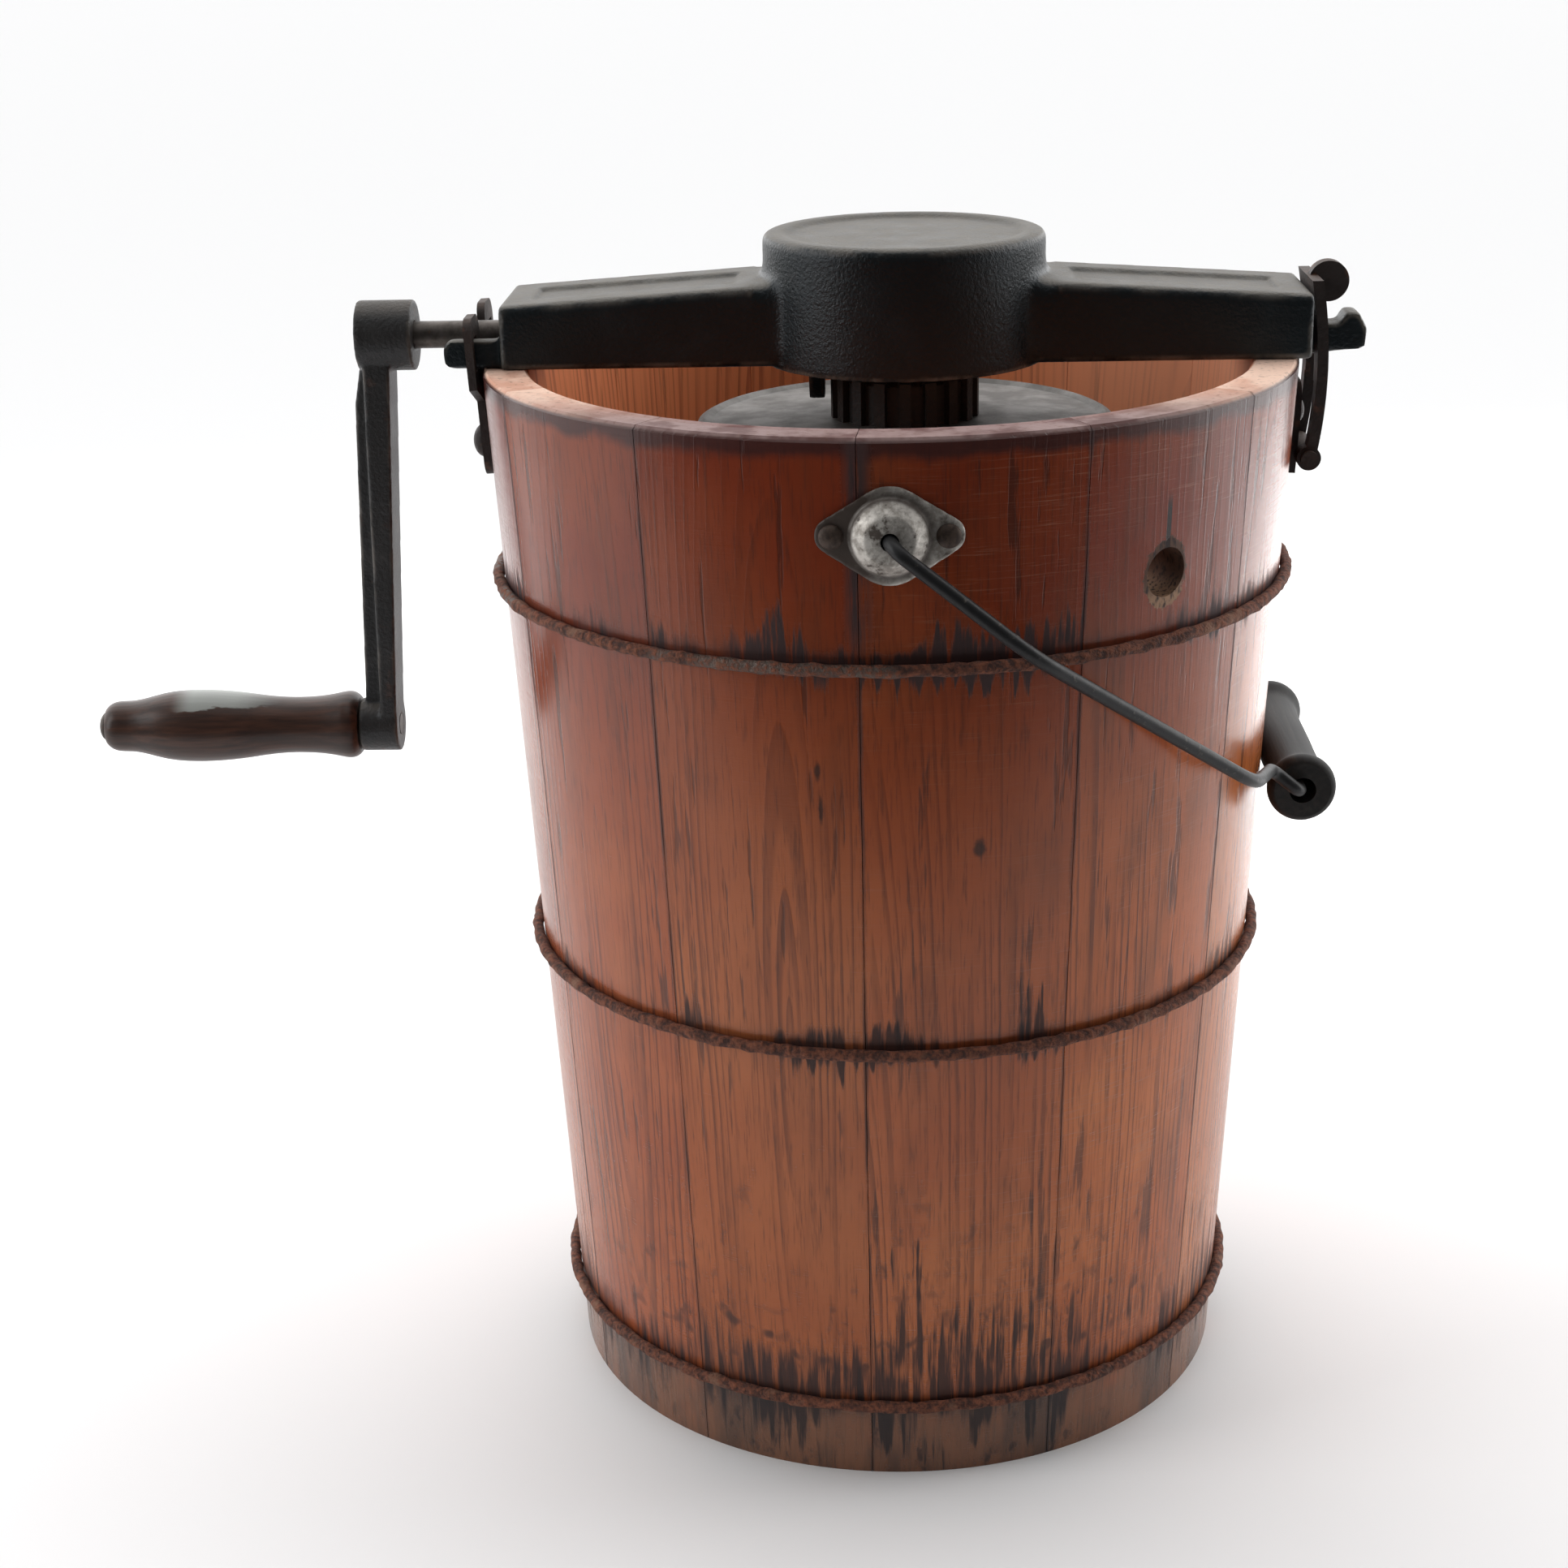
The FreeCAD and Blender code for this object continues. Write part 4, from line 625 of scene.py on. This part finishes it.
# %% Rust finish
RUST_DARK, RUST_LIGHT = (0.046, 0.018, 0.013), (0.225, 0.074, 0.038)
SCALE_TAN, BARE_GREY = (0.215, 0.105, 0.065), (0.150, 0.128, 0.110)
TOP_HOOP, LEFT_PART = (300.0 * MM, 310.0 * MM), (45.0 * MM, 20.0 * MM)
RUST_RELIEF = 1.3 * MM
rust, tree, shader = new_finish("hoop_rust")
spot, x, y, z = place_xyz(tree)
lumps = cloud(tree, spot, scale=420.0, detail=4.0, rough=0.65)
scale_patch = cloud(tree, spot, scale=90.0, detail=3.0)
colour = blended(tree, between(tree, lumps, 0.35, 0.68), RUST_DARK, RUST_LIGHT)
colour = blended(tree, between(tree, scale_patch, 0.55, 0.72), colour, SCALE_TAN)
on_top_hoop = times(tree, between(tree, z, *TOP_HOOP), between(tree, x, *LEFT_PART))
bare_patch = between(tree, cloud(tree, spot, scale=26.0, detail=2.0), 0.52, 0.60)
bare_metal = times(tree, bare_patch, on_top_hoop, between(tree, lumps, 0.62, 0.40))
colour = painted(tree, colour, BARE_GREY, bare_metal, strength=0.6)
tree.links.new(colour, shader.inputs["Base Color"])
tree.links.new(scaled(tree, bare_metal, factor=-0.42, offset=0.88), shader.inputs["Roughness"])
tree.links.new(times(tree, bare_metal, 0.7), shader.inputs["Metallic"])
raised(tree, shader, lumps, depth=RUST_RELIEF)
print(rust.name, "uses", len(tree.nodes), "nodes")

# %% [markdown]
# ## Pitted hoops
# Rust eats pits into a wire, and these show on its outline, where a bump in the material can't
# reach. So each hoop is made again as a torus whose skin is pushed in and out by a cloud pattern
# with the Displace modifier, and it replaces the CAD ring.

# %% Push pits into the hoops
HOOP_WIRE, HOOP_OFF_WOOD = 2.2 * MM, 0.06 * MM
ROUND_STEPS, WIRE_STEPS = 420, 14
PIT_SIZE, PIT_DEPTH = 4.5 * MM, 1.8 * MM


def apply_modifiers(thing):
    """Make every modifier of a piece permanent."""
    bpy.ops.object.select_all(action="DESELECT")
    thing.select_set(True)
    bpy.context.view_layer.objects.active = thing
    for modifier in list(thing.modifiers):
        bpy.ops.object.modifier_apply(modifier=modifier.name)


pit_pattern = bpy.data.textures.new("rust_pits", "CLOUDS")
pit_pattern.noise_scale = PIT_SIZE
pit_pattern.noise_depth = 3
for hoop, level in HOOP_LEVELS.items():
    wall_radius = TUB_BASE + (TUB_TOP - TUB_BASE) * level / TUB_TALL
    bpy.ops.object.select_all(action="DESELECT")
    bpy.ops.mesh.primitive_torus_add(major_segments=ROUND_STEPS, minor_segments=WIRE_STEPS,
                                     location=(0, 0, level), minor_radius=HOOP_WIRE,
                                     major_radius=wall_radius + HOOP_WIRE + HOOP_OFF_WOOD)
    ring = bpy.context.object
    ring.name = "rusted_" + hoop
    bpy.ops.object.transform_apply(location=True, rotation=True, scale=True)
    push = ring.modifiers.new("pits", "DISPLACE")
    push.texture, push.strength, push.mid_level = pit_pattern, PIT_DEPTH, 0.5
    push.texture_coords = "LOCAL"
    apply_modifiers(ring)
    bpy.ops.object.shade_smooth()
    ring.data.materials.append(rust)
    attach(ring, "tub")
    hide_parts(hoop)
    print(ring.name, "faces", len(ring.data.polygons))

# %% [markdown]
# ## Black cast iron
# The gear frame was poured in sand and painted black. Its skin has an orange-peel texture, and the faces
# that look up hold tan-grey dust. The dust follows the surface normal, so it lies on every ledge without
# being painted by hand. Paint rubs off at the edges first, and the Pointiness of the surface finds those;
# the same tan on the edges also stands for a painted highlight.

# %% Iron recipe
IRON_RUST, IRON_TINT = (0.120, 0.050, 0.028), (0.90, 0.95, 1.0)
IRON_SHINE, IRON_RELIEF = 0.36, 0.6 * MM


def cast_iron(name, base, dust_and_edge_highlight, dust_share, rust_share, grain, polish, edge_wear_and_highlight=0.0):
    """Sand-cast iron with dust on what faces up, worn edges with a painted highlight and a trace of rust.
    """
    iron, tree, shader = new_finish(name)
    spot = place_xyz(tree)[0]
    surface = tree.nodes.new("ShaderNodeNewGeometry")
    faces_up = between(tree, parts_of(tree, surface.outputs["Normal"])[2], 0.55, 0.95)
    peel = cloud(tree, spot, scale=grain, detail=3.0, rough=0.6)
    wide = cloud(tree, spot, scale=60.0)
    lighter = tuple(value * 1.7 for value in base)
    colour = blended(tree, between(tree, wide, 0.45, 0.75), base, lighter)
    thick = between(tree, cloud(tree, spot, scale=170.0, detail=4.0, rough=0.6), 0.30, 0.66)
    drift = scaled(tree, thick, factor=0.40, offset=0.60)
    settled = times(tree, faces_up, drift, dust_share)
    colour = blended(tree, settled, colour, dust_and_edge_highlight)
    rusty = between(tree, cloud(tree, spot, scale=110.0), 0.58, 0.70)
    colour = painted(tree, colour, IRON_RUST, rusty, strength=rust_share)
    # Worn edges in the dust colour, which also paint a highlight along the edges.
    rubbed_and_highlit = times(tree, between(tree, surface.outputs["Pointiness"], 0.508, 0.535),
                   between(tree, wide, 0.35, 0.65))
    colour = painted(tree, colour, dust_and_edge_highlight, rubbed_and_highlit, strength=edge_wear_and_highlight)
    tree.links.new(colour, shader.inputs["Base Color"])
    dull = scaled(tree, wide, factor=0.20, offset=polish)
    tree.links.new(scaled(tree, settled, factor=0.40, offset=dull), shader.inputs["Roughness"])
    shader.inputs["Specular IOR Level"].default_value = IRON_SHINE
    shader.inputs["Specular Tint"].default_value = (*IRON_TINT, 1)
    raised(tree, shader, peel, depth=IRON_RELIEF, strength=0.65)
    return iron


print("iron recipe ready")

# %% Iron finishes
frame_iron = cast_iron("frame_black_iron", base=(0.0042, 0.0074, 0.0090), dust_and_edge_highlight=(0.165, 0.148, 0.125),
                       dust_share=0.85, rust_share=0.02, grain=800.0, polish=0.24, edge_wear_and_highlight=0.75)
gear_iron = cast_iron("gear_dull_iron", base=(0.020, 0.019, 0.018), dust_and_edge_highlight=(0.090, 0.080, 0.070),
                      dust_share=0.4, rust_share=0.15, grain=600.0, polish=0.45)
dress(gear_iron, "lid_gear", "dasher_gear", "pinion", "pivot_socket")
crank_iron = cast_iron("crank_iron", base=(0.022, 0.020, 0.019), dust_and_edge_highlight=(0.130, 0.110, 0.092),
                       dust_share=0.6, rust_share=0.25, grain=700.0, polish=0.34, edge_wear_and_highlight=0.7)
strap_iron = cast_iron("rusted_strap_iron", base=(0.026, 0.017, 0.014), dust_and_edge_highlight=(0.120, 0.070, 0.048),
                       dust_share=0.4, rust_share=0.7, grain=480.0, polish=0.45)
dress(strap_iron, "hinge_strap", "latch_bracket", "latch_pin", "latch_loop", "hinge_screw",
      "latch_screw")

# %% [markdown]
# ## Soft edges on the castings
# A sand casting has no sharp edge: the corners of its pattern wear, and paint fills the inner
# corners. The CAD frame and crank are crisp. A bevel would need every edge picked by hand, so a
# copy of each mesh is merged, wrapped in an even skin by Remesh and smoothed, which rounds outer
# edges and fills inner corners alike. The copy's bores come out a little narrow, so the frame's
# bearings are drilled afterwards, as they are on a real casting. The copy then stands for the CAD
# node.

# %% Soft copies
SAME_POINT = 0.01 * MM
SMOOTH_SHARE = 0.5


def merged_copy(node, name, skin, passes):
    """A copy of a CAD node, its triangles joined, in an even skin with rounded edges."""
    source = bpy.data.objects[node]
    bpy.ops.object.select_all(action="DESELECT")
    source.select_set(True)
    bpy.context.view_layer.objects.active = source
    bpy.ops.object.duplicate()
    piece = bpy.context.object
    piece.name = name
    del piece["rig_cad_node"]
    bpy.ops.object.mode_set(mode="EDIT")
    bpy.ops.mesh.select_all(action="SELECT")
    bpy.ops.mesh.remove_doubles(threshold=SAME_POINT)
    bpy.ops.object.mode_set(mode="OBJECT")
    wrap = piece.modifiers.new("skin", "REMESH")
    wrap.mode, wrap.voxel_size = "VOXEL", skin
    soften = piece.modifiers.new("soften", "SMOOTH")
    soften.factor, soften.iterations = SMOOTH_SHARE, passes
    apply_modifiers(piece)
    return piece


print("soft copies ready")

# %% Bores and stand-ins
BIT_SIDES = 72
SHADE_BELOW = math.radians(40)


def drill(piece, place, way, radius, length):
    """Cut a round bore, centred on a place, through a piece."""
    bpy.ops.object.select_all(action="DESELECT")
    turned = Vector(way).to_track_quat("Z", "Y").to_euler()
    bpy.ops.mesh.primitive_cylinder_add(vertices=BIT_SIDES, radius=radius, depth=length,
                                        location=place, rotation=turned)
    bit = bpy.context.object
    bore = piece.modifiers.new("bore", "BOOLEAN")
    bore.operation, bore.solver, bore.object = "DIFFERENCE", "EXACT", bit
    apply_modifiers(piece)
    bpy.ops.object.select_all(action="DESELECT")
    bit.select_set(True)
    bpy.ops.object.delete()


def stand_in(piece, node, body, finish):
    """Let a finished piece stand for a CAD node."""
    bpy.ops.object.select_all(action="DESELECT")
    piece.select_set(True)
    bpy.context.view_layer.objects.active = piece
    bpy.ops.object.shade_smooth_by_angle(angle=SHADE_BELOW)
    piece.data.materials.clear()
    piece.data.materials.append(finish)
    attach(piece, body)
    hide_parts(node)
    print(piece.name, "faces", len(piece.data.polygons))


print("bores and stand-ins ready")

# %% [markdown]
# ## The frame and the crank
# The frame's two arms run into the gear drum with a wide, soft fillet. More smoothing, held to the
# points near that line by a vertex group, melts the corner. Then the shaft's bearing and the upper
# gear's journal are drilled.

# %% Round the frame and the crank
DRUM_PLACE, DRUM_RADIUS = 6.1 * MM, 53.0 * MM
FILLET, FILLET_INWARD, FILLET_PASSES = 9.0 * MM, 1.5 * MM, 60
CLEAR_OF_RIM, BELOW_DRUM_TOP = 408.0 * MM, 444.0 * MM
SHAFT_LEVEL, SHAFT_BORE = 414.2 * MM, 5.35 * MM
BEARING_MIDDLE, BEARING_LONG = -90 * MM, 140 * MM
JOURNAL_BORE, JOURNAL_LOW, JOURNAL_HIGH = 9.25 * MM, 439.2 * MM, 444.0 * MM
FRAME_SKIN, FRAME_PASSES = 1.15 * MM, 4
CRANK_SKIN, CRANK_PASSES = 0.7 * MM, 6


def where_arm_meets_drum(place):
    """True within a fillet's width of the line where an arm runs into the drum."""
    out = math.hypot(place.x - DRUM_PLACE, place.y)
    near = DRUM_RADIUS - FILLET_INWARD < out < DRUM_RADIUS + FILLET
    return near and CLEAR_OF_RIM < place.z < BELOW_DRUM_TOP


soft_frame = merged_copy("gear_frame", "soft_gear_frame", FRAME_SKIN, FRAME_PASSES)
corner_points = [point.index for point in soft_frame.data.vertices if where_arm_meets_drum(point.co)]
corner_group = soft_frame.vertex_groups.new(name="corner")
corner_group.add(corner_points, 1.0, "REPLACE")
fillet = soft_frame.modifiers.new("fillet", "SMOOTH")
fillet.factor, fillet.iterations = SMOOTH_SHARE, FILLET_PASSES
fillet.vertex_group = corner_group.name
apply_modifiers(soft_frame)
drill(soft_frame, (BEARING_MIDDLE, 0, SHAFT_LEVEL), (1, 0, 0), SHAFT_BORE, BEARING_LONG)
drill(soft_frame, (DRUM_PLACE, 0, (JOURNAL_LOW + JOURNAL_HIGH) / 2), (0, 0, 1), JOURNAL_BORE,
      JOURNAL_HIGH - JOURNAL_LOW)
stand_in(soft_frame, "gear_frame", "tub", frame_iron)
soft_crank = merged_copy("crank_arm", "soft_crank_arm", CRANK_SKIN, CRANK_PASSES)
stand_in(soft_crank, "crank_arm", "crank", crank_iron)

# %% [markdown]
# ## Tin on the ears
# The ears are sheet steel dipped in tin. Old tin is dull and cloudy, with brown rust where it has worn
# through, in freckles and over the left lobe. A dark ring in the same brown lies where the cup meets the
# plate. The ring follows the distance from the cup's centre.

# %% Ear tin
EAR_LEVEL, CUP_RADIUS = 372.3 * MM, 13.0 * MM
TIN_BRIGHT, TIN_DULL, TIN_RUST = (0.640, 0.610, 0.565), (0.300, 0.275, 0.245), (0.052, 0.036, 0.028)
CUP_EDGE, RING_IN, RING_OUT = 1.2 * MM, 1.2 * MM, (4.0 * MM, 0.8 * MM)
LOBE_RUST, LOBE_RAGGED = (22.0 * MM, 4.0 * MM), 30.0 * MM
TIN_RELIEF = 0.3 * MM
ear_tin, tree, shader = new_finish("ear_tin")
spot, x, y, z = place_xyz(tree)
from_centre = distance(tree, x, minus(tree, z, EAR_LEVEL))
haze = cloud(tree, spot, scale=260.0, detail=5.0, rough=0.65)
wear = cloud(tree, spot, scale=130.0, detail=4.0, rough=0.7)
colour = blended(tree, between(tree, haze, 0.36, 0.64), TIN_BRIGHT, TIN_DULL)
off_cup = minus(tree, 1.0, between(tree, from_centre, CUP_RADIUS + CUP_EDGE, CUP_RADIUS))
left_lobe = between(tree, scaled(tree, wear, factor=LOBE_RAGGED, offset=x), *LOBE_RUST)
pitted = times(tree, between(tree, wear, 0.57, 0.66), 0.85)
rusty = larger(tree, pitted, times(tree, left_lobe, off_cup))
# A dark ring where the cup meets the plate.
cup_edge_ring = times(tree, between(tree, from_centre, CUP_RADIUS - RING_IN, CUP_RADIUS),
              between(tree, from_centre, *[CUP_RADIUS + step for step in RING_OUT]))
rusty = larger(tree, rusty, times(tree, cup_edge_ring, 0.8))
colour = blended(tree, rusty, colour, TIN_RUST)
tree.links.new(colour, shader.inputs["Base Color"])
tree.links.new(scaled(tree, haze, factor=0.25, offset=0.36), shader.inputs["Roughness"])
tree.links.new(scaled(tree, rusty, factor=-0.45, offset=0.50), shader.inputs["Metallic"])
raised(tree, shader, haze, depth=TIN_RELIEF, strength=0.5)
print(ear_tin.name, "uses", len(tree.nodes), "nodes")

# %% [markdown]
# ## Domed ears
# Each ear is a pressed plate with a cup that swells round the bail's end. The CAD cup has a flat face, so
# a softened copy gets its dome: the points round the hole are drawn outwards and proportional editing
# carries the rest of the cup along. The hole for the wire is then drilled.

# %% Draw out the domes
EAR_SKIN, EAR_PASSES = 0.5 * MM, 6
DOME, DOME_REACH = 1.3 * MM, 9.0 * MM
PULLED_RADIUS, PULLED_DEPTH = 4.5 * MM, 3.0 * MM
WIRE_HOLE, WIRE_HOLE_DEEP = 3.1 * MM, 12 * MM
for ear, outwards in (("front_bail_ear", -1), ("rear_bail_ear", 1)):
    domed = merged_copy(ear, "domed_" + ear, EAR_SKIN, EAR_PASSES)
    face = max(outwards * point.co.y for point in domed.data.vertices)
    for point in domed.data.vertices:
        at_hole = math.hypot(point.co.x, point.co.z - EAR_LEVEL) < PULLED_RADIUS
        point.select = at_hole and outwards * point.co.y > face - PULLED_DEPTH
    bpy.ops.object.mode_set(mode="EDIT")
    bpy.ops.mesh.select_mode(type="VERT")
    bpy.ops.transform.translate(value=(0, outwards * DOME, 0), use_proportional_edit=True,
                                proportional_edit_falloff="SMOOTH", proportional_size=DOME_REACH)
    bpy.ops.object.mode_set(mode="OBJECT")
    drill(domed, (0, outwards * face, EAR_LEVEL), (0, 1, 0), WIRE_HOLE, WIRE_HOLE_DEEP)
    stand_in(domed, ear, "tub", ear_tin)

# %% [markdown]
# ## Screws, can and shaft
# The can and its lid are tinned like the ears, but duller. The screws are brown with rust, and the
# shaft and spindle are turned steel, darker and smoother. One recipe of cloudy metal with rust
# freckles does for all three, with other colours and shares.

# %% Worn metal recipe
FRECKLE_RUST = (0.085, 0.040, 0.024)


def worn_metal(name, bright, dull, rust_share, rough, metal, spot_scale):
    """Clouded metal with rust freckles."""
    sheet, tree, shader = new_finish(name)
    spot = place_xyz(tree)[0]
    haze = cloud(tree, spot, scale=spot_scale, detail=5.0, rough=0.65)
    colour = blended(tree, between(tree, haze, 0.35, 0.65), bright, dull)
    freckle = between(tree, cloud(tree, spot, scale=spot_scale * 2.2, detail=4.0, rough=0.7), 0.62, 0.70)
    worn = times(tree, freckle, rust_share)
    colour = blended(tree, worn, colour, FRECKLE_RUST)
    tree.links.new(colour, shader.inputs["Base Color"])
    tree.links.new(scaled(tree, haze, factor=0.25, offset=rough), shader.inputs["Roughness"])
    tree.links.new(scaled(tree, worn, factor=-metal, offset=metal), shader.inputs["Metallic"])
    raised(tree, shader, haze, depth=TIN_RELIEF, strength=0.4)
    return sheet


print("worn metal recipe ready")

# %% Worn metal finishes
screw_rust = worn_metal("screw_rust", bright=(0.090, 0.062, 0.048), dull=(0.040, 0.026, 0.020),
                        rust_share=0.8, rough=0.45, metal=0.4, spot_scale=300.0)
dress(screw_rust, "front_ear_screws", "rear_ear_screws", "socket_screws")
can_tin = worn_metal("can_tin", bright=(0.210, 0.200, 0.190), dull=(0.120, 0.112, 0.104),
                     rust_share=0.25, rough=0.52, metal=0.55, spot_scale=60.0)
dress(can_tin, "can_body", "can_lid", "can_pivot", "dasher")
shaft_steel = worn_metal("shaft_steel", bright=(0.120, 0.105, 0.095), dull=(0.060, 0.050, 0.044),
                         rust_share=0.5, rough=0.36, metal=0.75, spot_scale=120.0)
dress(shaft_steel, "crank_shaft", "handle_spindle")

# %% [markdown]
# ## The bail wire
# The bail is bent from black wire. It is smooth, and only small scuffs show grey-brown metal.

# %% Bail finish
WIRE_BLACK, WIRE_SCUFF = (0.012, 0.012, 0.013), (0.090, 0.080, 0.070)
WIRE_SHINE, WIRE_RELIEF = 0.30, 0.3 * MM
bail_black, tree, shader = new_finish("bail_black_wire")
scuff = cloud(tree, place_xyz(tree)[0], scale=300.0, detail=4.0, rough=0.65)
colour = blended(tree, between(tree, scuff, 0.60, 0.72), WIRE_BLACK, WIRE_SCUFF)
tree.links.new(colour, shader.inputs["Base Color"])
tree.links.new(scaled(tree, scuff, factor=0.3, offset=0.28), shader.inputs["Roughness"])
shader.inputs["Specular IOR Level"].default_value = WIRE_SHINE
raised(tree, shader, scuff, depth=WIRE_RELIEF, strength=0.4)
dress(bail_black, "bail_wire")

# %% [markdown]
# ## Turned and sawn wood
# The crank handle and the bail grip are turned on a lathe, so their grain runs along the axis. The
# bottom board and the scrapers are plain sawn wood. In all four the grain is a cloud pattern drawn
# out along one axis.

# %% Plain wood recipe
GRAIN_STRETCH = 0.06
WOOD_SHINE, GRAIN_RELIEF = 0.40, 0.3 * MM


def plain_wood(name, along, light, dark, rough):
    """Wood with long grain along X, Y or Z."""
    timber, tree, shader = new_finish(name)
    axes = list(place_xyz(tree)[1:])
    long_axis = "XYZ".index(along)
    axes[long_axis] = times(tree, axes[long_axis], GRAIN_STRETCH)
    run = joined(tree, *axes)
    grain = cloud(tree, run, scale=380.0, detail=4.0, rough=0.6)
    wide = cloud(tree, run, scale=70.0, detail=3.0)
    colour = blended(tree, between(tree, grain, 0.35, 0.70), dark, light)
    colour = painted(tree, colour, dark, between(tree, wide, 0.4, 0.7), strength=0.6)
    tree.links.new(colour, shader.inputs["Base Color"])
    tree.links.new(scaled(tree, wide, factor=0.25, offset=rough), shader.inputs["Roughness"])
    shader.inputs["Specular IOR Level"].default_value = WOOD_SHINE
    raised(tree, shader, grain, depth=GRAIN_RELIEF, strength=0.5)
    return timber


print("plain wood recipe ready")

# %% Plain wood finishes
handle_wood = plain_wood("crank_handle_wood", "X", light=(0.072, 0.030, 0.018),
                         dark=(0.028, 0.013, 0.009), rough=0.26)
dress(handle_wood, "crank_handle")
grip_wood = plain_wood("bail_grip_wood", "Y", light=(0.018, 0.015, 0.012),
                       dark=(0.005, 0.004, 0.004), rough=0.50)
dress(grip_wood, "bail_grip")
board_wood = plain_wood("bottom_board_wood", "X", light=(0.260, 0.120, 0.055),
                        dark=(0.110, 0.045, 0.022), rough=0.65)
dress(board_wood, "tub_bottom")
scraper_wood = plain_wood("scraper_wood", "Z", light=(0.480, 0.330, 0.190),
                          dark=(0.300, 0.190, 0.100), rough=0.6)
dress(scraper_wood, "left_scraper", "right_scraper")

# %% [markdown]
# ## Torn paint on the handle
# The crank handle keeps a torn patch of grey-green paint on its upper side. The patch has two ends
# along the handle and a ragged lower edge, which a streaky cloud pattern lifts and drops.

# %% Paint on the handle
PAINT_GREY = (0.330, 0.350, 0.330)
PAINT_LEFT, PAINT_RIGHT = (-286.0 * MM, -276.0 * MM), (-240.0 * MM, -262.0 * MM)
PAINT_LOW, PAINT_TORN = (272.8 * MM, 273.6 * MM), 8.0 * MM
tree = handle_wood.node_tree
base_colour = tree.nodes["Principled BSDF"].inputs["Base Color"]
unpainted = base_colour.links[0].from_socket
spot, x, y, z = place_xyz(tree)
torn = cloud(tree, joined(tree, times(tree, x, 0.35), y, z), scale=120.0, detail=4.0, rough=0.6)
paint = times(tree, between(tree, x, *PAINT_LEFT), between(tree, x, *PAINT_RIGHT),
              between(tree, scaled(tree, torn, factor=PAINT_TORN, offset=z), *PAINT_LOW))
tree.links.new(painted(tree, unpainted, PAINT_GREY, paint, strength=0.90), base_colour)
print(handle_wood.name, "uses", len(tree.nodes), "nodes")
